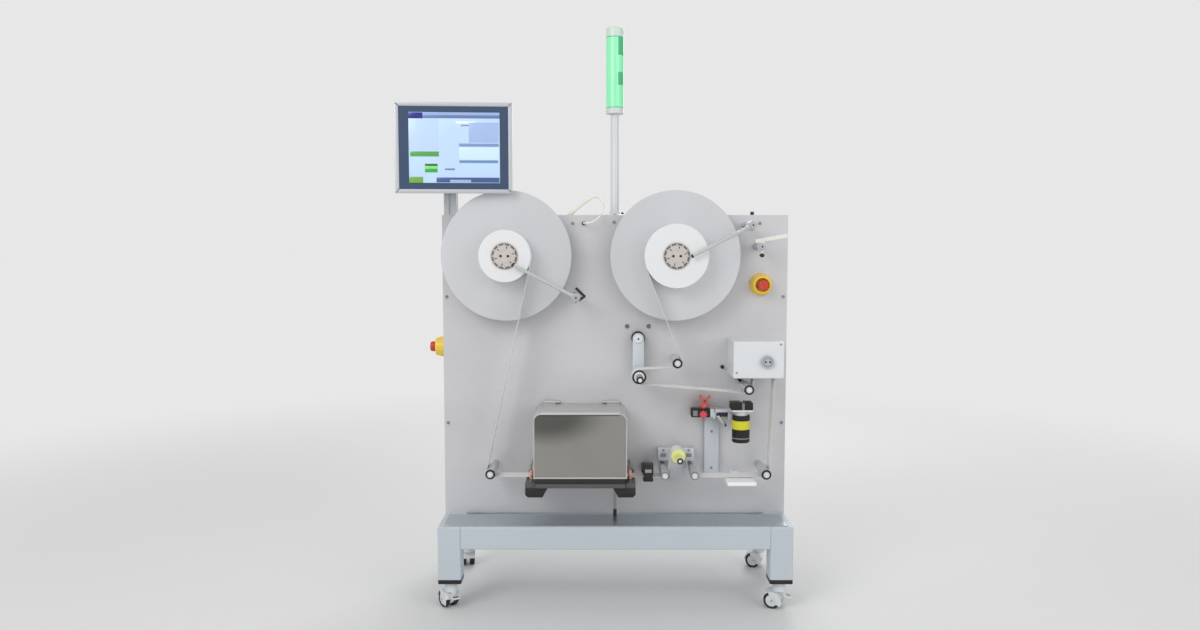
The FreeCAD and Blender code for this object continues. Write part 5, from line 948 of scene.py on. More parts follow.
soft_cover = finish("yellow polyurethane", (228, 231, 150), rough=0.38, grain=900, shade=0.03,
                    relief=0.08, coat=0.2)
block_paint = finish("pale bearing block", (204, 206, 213), rough=0.42, metal=0.15, grain=1300, shade=0.03)
x, z = CAPSTAN
bm = bmesh.new()
add(bm, rod_y((x, z), CAPSTAN_BACK, WEB_FRONT, CAPSTAN_RADIUS, 1.4, 72))
add(bm, rod_y((x, z), WEB_FRONT, NOSE_END + 3, CAPSTAN_SHAFT, 0.6, 40))
add(bm, ring_y((x, z), NOSE_END + 3, NOSE_END, 4.8, CAPSTAN_SHAFT, 0.6, 40), 2)
add(bm, rod_y((x, z), NOSE_END + 3, NOSE_END + 0.8, 4.8, 0.3), 3)
add(bm, rod_y((x, z), CAPSTAN_BACK + 1, DRIVE_END, CAPSTAN_SHAFT, 0.6, 40), 1)
piece("covered_capstan", bm, (soft_cover, bright_steel, black_plastic, white_plastic), "capstan",
      ("capstan",))

bm = bmesh.new()
add(bm, block((BLOCK_LOW[0], BLOCK_FRONT, BLOCK_LOW[1]), (BLOCK_HIGH[0], 0, BLOCK_HIGH[1]), 2.5))
add(bm, block((FOOT_LOW[0], BLOCK_FRONT, FOOT_LOW[1]), (FOOT_HIGH[0], 0, FOOT_HIGH[1]), 1.2))
add(bm, ring_y((x, z), BLOCK_FRONT + 1, CAPSTAN_BACK + 0.3, CAPSTAN_SHAFT + 0.3, BEARING_RADIUS, 1.0, 64))
for side in (-1, 1):
    slot = x + side * SLOT_SPREAD
    # Each grey patch on the block's front is painted shade in a slot.
    add(bm, block((slot - 9, BLOCK_FRONT - 0.3, z - 22), (slot + 9, BLOCK_FRONT + 1, z - 10), 0.2), 2)
    add(bm, rod_y((slot, z - 1), BLOCK_FRONT + 0.5, BLOCK_FRONT - 2.2, 4.2, 0.7, 24), 1)
piece("bearing_block", bm, (block_paint, screw_steel, ring_grey), "machine",
      ("capstan_block",))

# Metering box
# A white folded box with a lid covers the roller that the web turns to measure its length. A grey knob on
# the roller's shaft stands in front of the lid, which two dark screws hold.

METER_ROLLER = (458.0, 763.0)
LID_FRONT = -130.0
METER_RADIUS = 27.0
METER_Y = (-58.0, -125.0)
METER_KNOB = 19.0
KNOB_FRONT = -142.3
LID_SCREWS = ((366.0, 729.0), (499.0, 815.0))

white_box = finish("white enclosure paint", (221, 224, 227), rough=0.36, grain=1700, shade=0.02, relief=0.10)
knob_grey = finish("grey knob", (176, 180, 186), rough=0.40, grain=1500, shade=0.05)
dress("metering_box", white_box)
screws("lid_screws", [(px, LID_FRONT, pz) for px, pz in LID_SCREWS], (0.0, -1.0, 0.0), 3.0, 1.6, ring_grey,
       "machine")

x, z = METER_ROLLER
bm = bmesh.new()
add(bm, rod_y((x, z), *METER_Y, METER_RADIUS, 1.4, 72))
add(bm, rod_y((x, z), -12, LID_FRONT - 0.3, 8.0, 0.5), 1)
add(bm, rod_y((x, z), LID_FRONT - 0.3, KNOB_FRONT, METER_KNOB, 1.8, 64), 2)
# A thin dark ring and two dark dots on the knob's face are painted shade in its groove and holes.
add(bm, ring_y((x, z), KNOB_FRONT + 0.3, KNOB_FRONT - 0.3, 12.5, 13.6, 0.1, 64), 3)
for side in (-1, 1):
    add(bm, rod_y((x + side * 6.5, z), KNOB_FRONT + 0.3, KNOB_FRONT - 0.3, 3.0, 0.1, 20), 3)
piece("measuring_roller", bm, (black_plastic, bright_steel, knob_grey, painted_recess_shade), "metering_roller",
      ("metering_roller",))

# Print station
# A grey table with a black front bar stands on two black brackets and a stud through the deck. Short posts
# with copper-coloured collars guide the web's edges over the platen, and the coder sits above it.

TABLE_X = (-240.0, 28.0)
TABLE_Z = (387.0, 403.0)
TABLE_FRONT = -182.0
BAR_FRONT = -190.0
BRACKET_FRONT = -178.0
BRACKET_LOW = 358.0
BRACKET_OUTER = ((-272.0, -1), (60.0, 1))
BRACKET_WIDTH = 68.0
GUIDE_POSTS = [(x, y) for x in (-256.0, 44.0) for y in (-129.3, -60.7)]
PLATEN = ((-166.0, -127.0, 403.0), (-46.0, -63.0, 406.0))
CODER = ((-201.0, -150.0, 440.0), (-11.0, 0.0, 590.0))
CODER_PLUG = ((-130, -120), (-82, -70))
STUD = (0.0, -50.0)
STUD_FOOT = 254.0
STUD_SLEEVE = (265.2, 288.0)
STUD_NUT = (257.0, 262.0)
BAR_TOP = 415.0
BAR_LOW = 389.0
BRACKET_SCREWS = (-165.0, -90.0, -20.0)
GUIDE_SHOULDER = 430.0
GUIDE_TOP = 448.0

table_grey = finish("grey print table", (136, 130, 128), rough=0.45, metal=0.2, grain=1200, shade=0.05)
bar_grey = finish("dark grey bar", (84, 80, 82), rough=0.45, grain=1500, shade=0.08)
bracket_black = finish("black bracket", (24, 24, 23), rough=0.5, grain=1700, shade=0.2, relief=0.15)
copper_collar = finish("copper collar", (226, 170, 152), rough=0.32, metal=0.35, grain=1200, shade=0.05)
coder_shell = finish("coder shell", (70, 73, 78), rough=0.45, grain=1700, shade=0.06, relief=0.12)
bm = bmesh.new()
add(bm, block((TABLE_X[0], TABLE_FRONT, TABLE_Z[0]), (TABLE_X[1], 0, TABLE_Z[1]), 1.0))
add(bm, block((TABLE_X[0], BAR_FRONT, TABLE_Z[1] - 1), (TABLE_X[1], TABLE_FRONT, BAR_TOP), 1.0), 1)
add(bm, block((TABLE_X[0], BAR_FRONT + 0.5, BAR_LOW), (TABLE_X[1], TABLE_FRONT, TABLE_Z[1] - 1), 0.8), 2)
add(bm, block(PLATEN[0], PLATEN[1], 0.6), 3)
piece("print_table", bm, (table_grey, bracket_black, bar_grey, bright_steel), "machine",
      ("print_station",))

bm = bmesh.new()
for outer, side in BRACKET_OUTER:
    inner = outer - side * BRACKET_WIDTH
    foot = [(outer, TABLE_Z[0]), (outer, BRACKET_LOW + 8), (outer - side * 8, BRACKET_LOW),
            (inner + side * 16, BRACKET_LOW), (inner, TABLE_Z[0])]
    add(bm, slab(foot, BRACKET_FRONT, 0, 1.2))
    near, far = sorted((outer, outer - side * 32))
    add(bm, block((near, BRACKET_FRONT, TABLE_Z[0]), (far, 0, TABLE_Z[1] - 1), 1.0), 1)
    for depth in BRACKET_SCREWS:
        place = ((near + far) / 2, depth, TABLE_Z[1] - 1)
        add(bm, rod(place, (place[0], depth, place[2] + 2.2), 4.5, 0.8, 24), 2)
add(bm, rod_z(STUD, STUD_FOOT, BRACKET_LOW, 4.0, 0.6, 24), 2)
add(bm, rod_z(STUD, *STUD_SLEEVE, 5.5, 0.6, 24))
add(bm, rod_z(STUD, *STUD_NUT, 9.0, 0.6, 6), 2)
piece("table_brackets", bm, (bracket_black, bar_grey, screw_steel), "machine",
      ("print_station",))

bm = bmesh.new()
for x, y in GUIDE_POSTS:
    add(bm, rod_z((x, y), TABLE_Z[1] - 1, GUIDE_SHOULDER, 6.0, 0.9))
    add(bm, ring_z((x, y), TABLE_Z[1] + 8, TABLE_Z[1] + 10, 5.5, 6.1, 0.1), 1)
    add(bm, rod_z((x, y), GUIDE_SHOULDER - 1, GUIDE_TOP, 2.5, 0.6, 20), 1)
piece("edge_guides", bm, (copper_collar, screw_steel), "machine", ("print_station",))

bm = bmesh.new()
low, high = CODER
add(bm, block(low, (high[0], high[1], high[2] - 26), 3.0))
add(bm, block((low[0], low[1], high[2] - 25), high, 3.0), 1)
add(bm, block((low[0] + 12, low[1] - 0.6, low[2] + 16), (high[0] - 12, low[1] + 2, high[2] - 44), 0.5), 1)
add(bm, block((*CODER_PLUG[0], high[2] - 1), (*CODER_PLUG[1], high[2] + 8), 2.0), 2)
piece("coder_body", bm, (coder_shell, bar_grey, black_plastic), "machine",
      ("print_station",))

head_black = finish("print head black", (30, 30, 32), rough=0.38, grain=1600, shade=0.15)
dress("print_head", head_black)

# Hood
# A folded and polished stainless cover lifts on two hinges over the print station. Its front is set a
# little back inside a pale rim. A painted reflection darkens its upper left corner for the dark room that it
# mirrors, a painted shadow lies under its top rim and a painted highlight runs along its top bend.

HOOD_X = (-246.0, 34.0)
HOOD_Z = (417.0, 614.0)
HOOD_FRONT = -188.0
HOOD_BACK = -2.0
HOOD_CORNER = 22.0
HOOD_RIM = 3.5
HOOD_SILL = 5.0
HOOD_WALL = 2.0
FRONT_PANEL = -186.5
FRONT_INSIDE = -184.5
LEAVES = ((-226.0, -186.0), (-26.0, 14.0))
# Where the painted reflection on the hood's front is darkest, and how its fading is stretched.
PAINTED_REFLECTION_CORNER = (-205.0, HOOD_FRONT, 604.0)
PAINTED_REFLECTION_STRETCH = (0.62, 0, 1.25)
PAINTED_SHADOW_HEIGHT = 2.4
PAINTED_HIGHLIGHT_DEPTH = 22.0
LEAF_DEPTH = 20.0


def arch(x0, x1, z0, z1, corner, steps=10):
    """An outline that is square below and round at its two upper corners."""
    left = arc((x0 + corner, z1 - corner), corner, 180, 90, steps)
    right = arc((x1 - corner, z1 - corner), corner, 90, 0, steps)
    return [(x0, z0)] + left + right + [(x1, z0)]


def framed(outer, inner, y0, y1, edge=0.6):
    """A frame between two outlines with the same number of points."""
    part = bmesh.new()
    loops = []
    for outline, y in ((outer, y0), (inner, y0), (inner, y1), (outer, y1)):
        loops.append([part.verts.new((x, y, z)) for x, z in outline])
    count = len(outer)
    for first, second in zip(loops, loops[1:] + loops[:1]):
        for step in range(count):
            after = (step + 1) % count
            part.faces.new((first[step], first[after], second[after], second[step]))
    bmesh.ops.recalc_face_normals(part, faces=part.faces)
    if edge > 0:
        bmesh.ops.bevel(part, geom=part.edges[:], offset=edge, segments=2, profile=0.5, affect="EDGES")
    return part


def painted_reflection_finish(name, colour, corner, near, far, dark):
    """A polished finish with a painted reflection: dark round one place and clearing away from it."""
    made = finish(name, colour, rough=0.22, metal=0.55, grain=700, run=(1, 1, 0.05), shade=0.015,
                  relief=0.02, cloud=0.10, cloud_size=6.0)
    tree = made.node_tree
    reach = reach_from(made, corner, PAINTED_REFLECTION_STRETCH)
    clear = new_node(tree, "ShaderNodeMapRange",
                     {"Value": reach, "From Min": near * MM, "From Max": far * MM, "To Min": dark},
                     interpolation_type="SMOOTHSTEP")
    painted_reflection_tone = new_node(tree, "ShaderNodeMix", data_type="RGBA", blend_type="MULTIPLY")
    feed(tree, painted_reflection_tone, {"Factor": 1.0, "A": tree.nodes["colour"].outputs["Result"], "B": clear})
    feed(tree, tree.nodes["Principled BSDF"], {"Base Color": painted_reflection_tone.outputs["Result"]})
    return made


hood_steel = finish("folded stainless", (191, 191, 190), rough=0.42, metal=0.3, grain=260, run=(0.2, 1, 1),
                    shade=0.02, relief=0.004, cloud=0.05)
# The hood front's colour carries a painted reflection, darkest at its upper left corner.
hood_front_painted_reflection = painted_reflection_finish("polished stainless front with painted reflection", (152, 151, 146), PAINTED_REFLECTION_CORNER, 38.0, 125.0, 0.36)
bm = bmesh.new()
outer = arch(*HOOD_X, *HOOD_Z, HOOD_CORNER)
inner = arch(HOOD_X[0] + HOOD_WALL, HOOD_X[1] - HOOD_WALL, HOOD_Z[0], HOOD_Z[1] - HOOD_WALL,
             HOOD_CORNER - HOOD_WALL)
add(bm, slab(outer + inner[::-1], FRONT_INSIDE, HOOD_BACK, 0.5))
opening = arch(HOOD_X[0] + HOOD_RIM, HOOD_X[1] - HOOD_RIM, HOOD_Z[0] + HOOD_SILL, HOOD_Z[1] - HOOD_RIM,
               HOOD_CORNER - HOOD_RIM)
add(bm, framed(outer, opening, HOOD_FRONT, FRONT_INSIDE, 0.7))
add(bm, slab(opening, FRONT_PANEL, FRONT_INSIDE, 0), 1)
# A thin dark strip just under the top rim is painted shadow, where the front panel is set back.
painted_shadow_top = HOOD_Z[1] - HOOD_RIM
add(bm, block((HOOD_X[0] + HOOD_CORNER, FRONT_PANEL - 0.4, painted_shadow_top - PAINTED_SHADOW_HEIGHT),
              (HOOD_X[1] - HOOD_CORNER, FRONT_PANEL + 0.4, painted_shadow_top), 0.2), 3)
# A pale strip along the top of the front bend is a painted highlight.
add(bm, block((HOOD_X[0] + HOOD_CORNER, HOOD_FRONT + 0.8, HOOD_Z[1] - 0.3),
              (HOOD_X[1] - HOOD_CORNER, HOOD_FRONT + PAINTED_HIGHLIGHT_DEPTH, HOOD_Z[1] + 0.3), 0.2), 4)
y, z = HOOD_HINGE
for x0, x1 in LEAVES:
    add(bm, block((x0, y - LEAF_DEPTH, HOOD_Z[1]), (x1, y, HOOD_Z[1] + 2), 0.5))
    add(bm, ring((x0, y, z), (x1, y, z), 3.05, 5.5, 0.4, 32))
    for x in (x0 + 10, x1 - 10):
        add(bm, rod_z((x, y - 12), HOOD_Z[1] + 1.8, HOOD_Z[1] + 3.4, 2.8, 0.6, 20), 2)
# The finish of the painted highlight on the hood's top bend.
hood_bend_painted_highlight = finish("bright hood bend", (226, 226, 224), rough=0.35, metal=0.2, grain=300, shade=0.02)
piece("stainless_hood", bm, (hood_steel, hood_front_painted_reflection, bright_steel, painted_recess_shade, hood_bend_painted_highlight), "hood",
      ("hood",))

# Fork sensor
# A black moulded fork that the web runs through, with a pale window in its front. Its foot is screwed to
# the faceplate, and two steel screws show in its side.

FORK_X = (84.5, 115.5)
FORK_FACE = ((87, -133.6, 395), (113, -131, 441))
FORK_WINDOW = ((90, -134.0, 423), (110, -132, 433))
FORK_SCREWS = ((-30, 402.5), (-30, 417.5))
FORK_SIDE = [(-132.0, 396.0), (0.0, 396.0), (0.0, 424.0), (-100.0, 424.0), (-100.0, 449.0), (-132.0, 449.0),
             (-132.0, 414.0), (-60.0, 414.0), (-60.0, 402.0), (-132.0, 402.0)]

window_grey = finish("pale sensor window", (150, 154, 154), rough=0.25, grain=1500, shade=0.08)
bm = bmesh.new()
add(bm, slab(FORK_SIDE, -FORK_X[1], -FORK_X[0], 1.4), 0, Matrix.Rotation(math.pi / 2, 4, "Z"))
add(bm, block(*FORK_FACE, 1.2))
add(bm, block(*FORK_WINDOW, 0.4), 1)
for place in FORK_SCREWS:
    add(bm, rod((FORK_X[1] - 1, *place), (FORK_X[1] + 1.4, *place), 3.5, 0.6, 20), 2)
piece("fork_body", bm, (black_plastic, window_grey, screw_steel), "machine",
      ("fork_sensor",))

# Inspection stand
# A white plastic plate backs the web under the camera, on an arm from the faceplate. The camera's post is
# a pale aluminium strip with one cut corner, held off the faceplate by two spacers.

PLAQUE = ((335.0, -179.0, 392.5), (423.0, -60.0, 404.5))
PLAQUE_ARM = ((364.0, -62.0, 392.5), (394.0, 0.0, 399.5))
POST_X = (282.0, 327.0)
POST_Z = (392.0, 600.0)
POST_Y = (-20.0, -8.0)
POST_CUT = 18.0
POST_SPACERS = (412.0, 570.0)
POST_SCREWS = (412.0, 528.0)
PLAQUE_SCREWS = ((347.0, -76), (411.0, -76))

white_plate = finish("white backing plate", (240, 242, 243), rough=0.38, grain=1700, shade=0.015)
post_paint = finish("pale blue aluminium", (205, 210, 217), rough=0.36, metal=0.25, grain=900,
                    run=(1, 1, 0.05), shade=0.03)
bm = bmesh.new()
add(bm, block(*PLAQUE, 3.0))
add(bm, block(*PLAQUE_ARM, 1.0))
top = PLAQUE[1][2]
for place in PLAQUE_SCREWS:
    add(bm, rod_z(place, top - 0.5, top + 0.5, 4.0, 0.4, 24), 1)
piece("backing_plate", bm, (white_plate, screw_steel), "machine", ("inspection_stand",))

bm = bmesh.new()
strip = [(POST_X[0], POST_Z[0]), (POST_X[1], POST_Z[0]), (POST_X[1], POST_Z[1] - POST_CUT),
         (POST_X[1] - POST_CUT, POST_Z[1]), (POST_X[0], POST_Z[1])]
add(bm, slab(strip, *POST_Y, 1.0))
middle = sum(POST_X) / 2
for z in POST_SPACERS:
    add(bm, rod_y((middle, z), POST_Y[1] - 0.5, 0, 8.0, 0.6), 1)
for z in POST_SCREWS:
    add(bm, rod_y((middle, z), POST_Y[0] + 0.5, POST_Y[0] - 2.4, 4.2, 0.8, 24), 1)
piece("camera_post", bm, (post_paint, screw_steel), "machine", ("inspection_stand",))

# Camera head
# A black clamp with a red knob and lever slides on the post. Its pin, a bent aluminium bracket and a
# pale block carry the black camera, which has a yellow ring. Two dark connectors sit on the bracket.

CLAMP = ((237.0, -60.0, 580.0), (296.0, -20.0, 605.0))
CLAMP_END = 321.0
KNOB = (272.0, 592.5)
LEVER_X = 277.0
LEVER_Y = -40.0
CAMERA_AXIS = (382.0, -120.0)
CAMERA_RADIUS = 27.0
CAMERA_BOTTOM = 516.0
YELLOW = (556.0, 583.0)
CAMERA_TOP = 599.0
CAMERA_BLOCK = ((349.0, -145.0, 611.0), (415.0, -95.0, 639.0))
LINK = ((366.0, -95.0, 580.5), (398.0, -28.0, 625.0))
WING_SLANT = math.radians(43)
WING_HALF = Vector((24, 5, 4.5))
WING_RISE = 629.0
BENDS = (((306, -64, 596), (366, -44, 606), 1.2), ((304, -64, 576), (311, -44, 606), 1.2),
         ((350, -60, 570), (357, -44, 604), 1.0))
BRACE = [(313, 584), (321, 589), (347, 557), (339, 552)]
BRACE_Y = (-72, -63)
BRACE_SCREW = (341, 556)
CAMERA_EYE = (11.0, 17.0)
CAMERA_NECK = 20.0
CONNECTORS = (((314, -62, 578), (331, -46, 594)), ((333, -62, 582), (350, -46, 596)))
BLOCK_GAP = 388.0

knob_red = finish("red clamp plastic", (212, 74, 88), rough=0.38, grain=1500, shade=0.05)
lever_red = finish("coral lever plastic", (224, 120, 108), rough=0.38, grain=1500, shade=0.05)
ring_yellow = finish("yellow ring", (214, 206, 42), rough=0.35, grain=1500, shade=0.05)
camera_black = finish("camera black", (22, 22, 23), rough=0.45, metal=0.2, grain=1700, shade=0.15,
                      relief=0.15)
connector_blue = finish("dark blue connector", (34, 38, 74), rough=0.4, grain=1500, shade=0.1)
bracket_alu = finish("bare bracket", (216, 218, 219), rough=0.34, metal=0.3, grain=800, run=(0.05, 1, 1),
                     shade=0.04)
bm = bmesh.new()
add(bm, block(*CLAMP, 1.5))
low, high = CLAMP
front = low[1]
add(bm, block((low[0] + 5, front - 0.4, low[2] + 4), (KNOB[0] - 15, front + 2, high[2] - 4), 0.4), 3)
add(bm, block((high[0] - 0.5, front, low[2]), (CLAMP_END, *high[1:]), 1.0), 5)
add(bm, rod_y(KNOB, front + 1, front - 10, 7.0, 0.8, 32), 1)
add(bm, rod_y(KNOB, front - 8, front - 24, 9.5, 2.0, 40), 1)
add(bm, ring_of_blocks(8, 9.0, (6.0, 4.2, 15.0), knob_red), 1,
    standing((KNOB[0], front - 16, KNOB[1]), TO_FRONT))
add(bm, rod_z((LEVER_X, LEVER_Y), high[2], high[2] + 19, 8.0, 1.2, 40), 2)
add(bm, block((LEVER_X - 5, LEVER_Y - 32, high[2] + 8), (LEVER_X + 5, LEVER_Y, high[2] + 16), 2.4), 2)
for slant in (-WING_SLANT, WING_SLANT):
    wing_turn = Matrix.Translation((LEVER_X + 3, LEVER_Y, WING_RISE)) @ Matrix.Rotation(slant, 4, "Y")
    add(bm, block(-WING_HALF, WING_HALF, 2.0), 2, wing_turn)
add(bm, rod((LEVER_X + 2, LEVER_Y, KNOB[1]), (CAMERA_AXIS[0], LEVER_Y, KNOB[1]), 6.0, 0.6), 4)
piece("camera_clamp", bm, (camera_black, knob_red, lever_red, ring_grey, bright_steel, bracket_alu),
      "camera_head",
      ("camera_head",))

x, y = CAMERA_AXIS
bm = bmesh.new()
add(bm, block(*LINK, 2.0))
for low, high, edge in BENDS:
    add(bm, block(low, high, edge))
add(bm, slab(BRACE, *BRACE_Y, 1.2), 1)
for low, high in CONNECTORS:
    add(bm, block(low, high, 2.0), 2)
add(bm, rod_y(BRACE_SCREW, BRACE_Y[0] - 1, BRACE_Y[1] + 1, 3.0, 0.6, 24), 2)
piece("camera_bracket", bm, (bracket_alu, bright_steel, connector_blue), "camera_head",
      ("camera_head",))

bm = bmesh.new()
add(bm, rod_z((x, y), CAMERA_BOTTOM, YELLOW[0], CAMERA_RADIUS, 2.0, 64))
add(bm, ring_z((x, y), CAMERA_BOTTOM + 12, CAMERA_BOTTOM + 15, CAMERA_RADIUS - 1, CAMERA_RADIUS + 0.2,
               0.2, 64), 2)
add(bm, ring_z((x, y), CAMERA_BOTTOM - 0.2, CAMERA_BOTTOM + 1, *CAMERA_EYE, 0.3, 48), 2)
add(bm, rod_z((x, y), YELLOW[0], YELLOW[1], CAMERA_RADIUS - 0.3, 1.2, 64), 1)
add(bm, rod_z((x, y), YELLOW[1], CAMERA_TOP, CAMERA_RADIUS, 1.6, 64))
add(bm, rod_z((x, y), CAMERA_TOP - 1, CAMERA_TOP + 12.5, CAMERA_NECK, 0.8, 48), 3)
low, high = CAMERA_BLOCK
add(bm, block((low[0], low[1], low[2] + 6), (BLOCK_GAP - 6, high[1], high[2]), 1.5))
add(bm, block((BLOCK_GAP - 7, low[1] + 3, low[2] + 6), (BLOCK_GAP + 3, high[1], high[2] - 3), 0.6), 2)
add(bm, block((BLOCK_GAP + 2, low[1], low[2] + 6), high, 1.5))
add(bm, block((low[0] + 4, low[1], low[2]), (high[0], high[1], low[2] + 6), 1.0), 3)
piece("camera_body", bm, (camera_black, ring_yellow, ring_grey, bracket_alu), "camera_head",
      ("camera_head",))

# Keeper arms
# Bright rods on clamp rings swing across the front of each roll and keep it on its hub. The left one has
# a black bent lever, and the short one at the right has a cream bar with a black thumb knob.

KEEPER_Y = -140.0
REWIND_KEEPER = (-119.0, 957.0)
REWIND_TIP = (-304.0, 1054.0)
SUPPLY_KEEPER = (407.0, 1173.0)
SUPPLY_TIP = (231.0, 1082.0)
CLAMP_RADIUS = 13.0
CLAMP_HALF = 10.0
ROD_RADIUS = 5.5
EDGE_ARM = (442.0, 1109.0)
EDGE_Y = -100.0
EDGE_HALF = 6.0
EDGE_TILT = math.radians(10)
EDGE_BAR = ((-20.0, 10.0), (78.0, 22.0))
THUMB_DROP = 26.0

keeper_chrome = finish("pale chrome", (208, 211, 210), rough=0.18, metal=0.75, grain=700, shade=0.03,
                       relief=0.02)
cream_bar = finish("cream bar", (231, 231, 222), rough=0.40, grain=1500, shade=0.02)


def keeper(bm, place, tip):
    """A clamp ring on its post, the rod that reaches from it over the roll, and the ring's screw."""
    hub = Vector((place[0], KEEPER_Y, place[1]))
    add(bm, ring_y(place, KEEPER_Y + CLAMP_HALF, KEEPER_Y - CLAMP_HALF, 7.05, CLAMP_RADIUS, 1.0))
    way = Vector((tip[0] - place[0], 0, tip[1] - place[1])).normalized()
    start = hub + way * (CLAMP_RADIUS - 1.5)
    end = Vector((tip[0], KEEPER_Y, tip[1])) + way * ROD_RADIUS
    add(bm, rod(start, start + way * 9, ROD_RADIUS + 2.0, 1.0))
    add(bm, rod(start, end, ROD_RADIUS, 3.5))
    add(bm, rod(end - way * 8, end + way * 0.3, ROD_RADIUS + 0.3, 2.5), 2)
    side = Vector((0, 0, 1)) if abs(way.z) < 0.9 else Vector((1, 0, 0))
    add(bm, rod(hub - side * 11, hub - side * 16, 3.0, 0.6, 20), 1)


bm = bmesh.new()
keeper(bm, REWIND_KEEPER, REWIND_TIP)
x, z = REWIND_KEEPER
corner = Vector((x + 26.0, KEEPER_Y, z + 4.0))
top = corner + Vector((-26.6, 0, 25.5))
foot = Vector((x + 8.0, KEEPER_Y, z - 8.0))
add(bm, rod(corner - (top - corner).normalized() * 2, top, 4.0, 1.0, 24), 2)
add(bm, rod(foot, corner + (corner - foot).normalized() * 1.0, 4.0, 1.0, 24), 2)
piece("rewind_keeper_arm", bm, (keeper_chrome, screw_steel, black_plastic), "rewind_keeper",
      ("rewind_keeper",))

bm = bmesh.new()
keeper(bm, SUPPLY_KEEPER, SUPPLY_TIP)
piece("supply_keeper_arm", bm, (keeper_chrome, screw_steel, black_plastic), "supply_keeper",
      ("supply_keeper",))

x, z = EDGE_ARM
bm = bmesh.new()
add(bm, ring_y((x, z), EDGE_Y + EDGE_HALF, EDGE_Y - EDGE_HALF, 7.05, CLAMP_RADIUS, 1.0))
hinge = Vector((x + EDGE_BAR[0][0], 0, z + 16.0))
tilt = Matrix.Translation(hinge) @ Matrix.Rotation(-EDGE_TILT, 4, "Y") @ Matrix.Translation(-hinge)
(left, low), (right, high) = EDGE_BAR
add(bm, block((x + left, EDGE_Y - EDGE_HALF, z + low),
              (x + right, EDGE_Y + EDGE_HALF, z + high), 1.4), 1, tilt)
add(bm, block((x - 8, EDGE_Y - EDGE_HALF + 0.2, z + 11), (x + 8, EDGE_Y + EDGE_HALF - 0.2, z + 17), 0.6))
add(bm, block((x - 4, EDGE_Y - EDGE_HALF + 0.4, z - THUMB_DROP),
              (x + 4, EDGE_Y + EDGE_HALF - 0.4, z - 12), 0.8))
add(bm, rod_y((x, z - THUMB_DROP), EDGE_Y + EDGE_HALF, EDGE_Y - EDGE_HALF - 10, 6.0, 1.6, 16), 2)
piece("edge_guide_arm", bm, (bracket_alu, cream_bar, black_plastic), "edge_arm",
      ("edge_arm",))

# Emergency stops
# Two red mushroom buttons of moulded plastic, each in a yellow shroud against a chance press. One is
# screwed to the faceplate and one to the cabinet's left side.

STOPS = {"front": ((457.0, 0.0, 990.0), (0, -1, 0)), "side": ((-537.0, 60.0, 789.0), (-1, 0, 0))}
SHROUD = [(0, 8.05), (0, 36), (36, 27), (36, 21), (8, 21), (8, 8.05)]
HEAD = [(-24, 0), (-24, 8), (36, 8), (36, 14.5), (40, 16), (49, 16), (52.5, 14.5), (54, 11.5),
        (53.3, 9), (53, 0)]

stop_yellow = finish("yellow shroud plastic", (243, 204, 74), rough=0.36, grain=1600, shade=0.02)
stop_red = finish("red button plastic", (200, 60, 40), rough=0.36, grain=1600, shade=0.03)
bm = bmesh.new()
for place, way in STOPS.values():
    add(bm, turned(place, way, eased(SHROUD, 1.6, closed=True), closed=True, around=72))
piece("yellow_shrouds", bm, (stop_yellow,), "machine", ("stop_shrouds",))
for name, (place, way) in STOPS.items():
    bm = bmesh.new()
    add(bm, turned(place, way, eased(HEAD, 0.8), around=64))
    button = "stop_button_" + name
    piece("red_" + button, bm, (stop_red,), button, (button,))

# Operator panel
# A touch panel in a pale frame hangs on a turning and tilting bracket at the top of a grooved aluminium
# post. Its screen shows plain coloured fields in place of a real page.

PANEL_X = (-670.0, -320.0)
PANEL_Z = (1269.0, 1539.0)
PANEL_FRONT = -110.0
PANEL_FACE = -108.0
PANEL_BACK = -100.0
PANEL_RIM = 12.0
HOUSING = ((-655.0, -100.0, 1296.0), (-335.0, -58.0, 1512.0))
SCREEN_X = (-628.0, -358.0)
SCREEN_Z = (1300.0, 1509.0)
POST_AXIS = (-517.0, 40.0)
PANEL_TURN = math.radians(4)
VENT_COUNT = 22
VENT_PITCH = 10.0
VENT_START = (-600.0, -57.9)
VENT_ROWS = (1330.0, 1478.0)
TILT_PIN_HALF = 33.0
VENT = (4.0, 1.2, 34.0)
EARS = (30.3, 40.3)
TILT_AXIS = (-42.0, 1399.0)
FIELDS = [
    (0.0, 0.0, 1.0, 0.04, (150, 172, 214)), (0.155, 0.04, 1.0, 0.085, (96, 122, 170)),
    (0.0, 0.005, 0.155, 0.09, (38, 46, 130)), (0.005, 0.09, 0.33, 0.54, (186, 209, 236)),
    (0.015, 0.555, 0.33, 0.626, (86, 156, 76)), (0.174, 0.729, 0.313, 0.761, (34, 112, 52)),
    (0.174, 0.761, 0.313, 0.80, (140, 214, 130)), (0.174, 0.80, 0.313, 0.852, (48, 164, 62)),
    (0.0, 0.916, 0.154, 1.0, (112, 164, 68)), (0.52, 0.129, 0.74, 0.155, (238, 243, 250)),
    (0.572, 0.174, 0.73, 0.194, (120, 142, 180)), (0.66, 0.142, 0.99, 0.426, (158, 182, 222)),
    (0.552, 0.439, 0.99, 0.484, (124, 146, 192)), (0.552, 0.49, 0.99, 0.67, (200, 225, 245)),
    (0.552, 0.677, 0.98, 0.716, (104, 138, 182)), (0.393, 0.794, 0.502, 0.819, (104, 134, 172)),
    (0.30, 0.923, 0.995, 0.994, (66, 88, 142)), (0.45, 0.955, 0.68, 0.994, (150, 176, 214))]


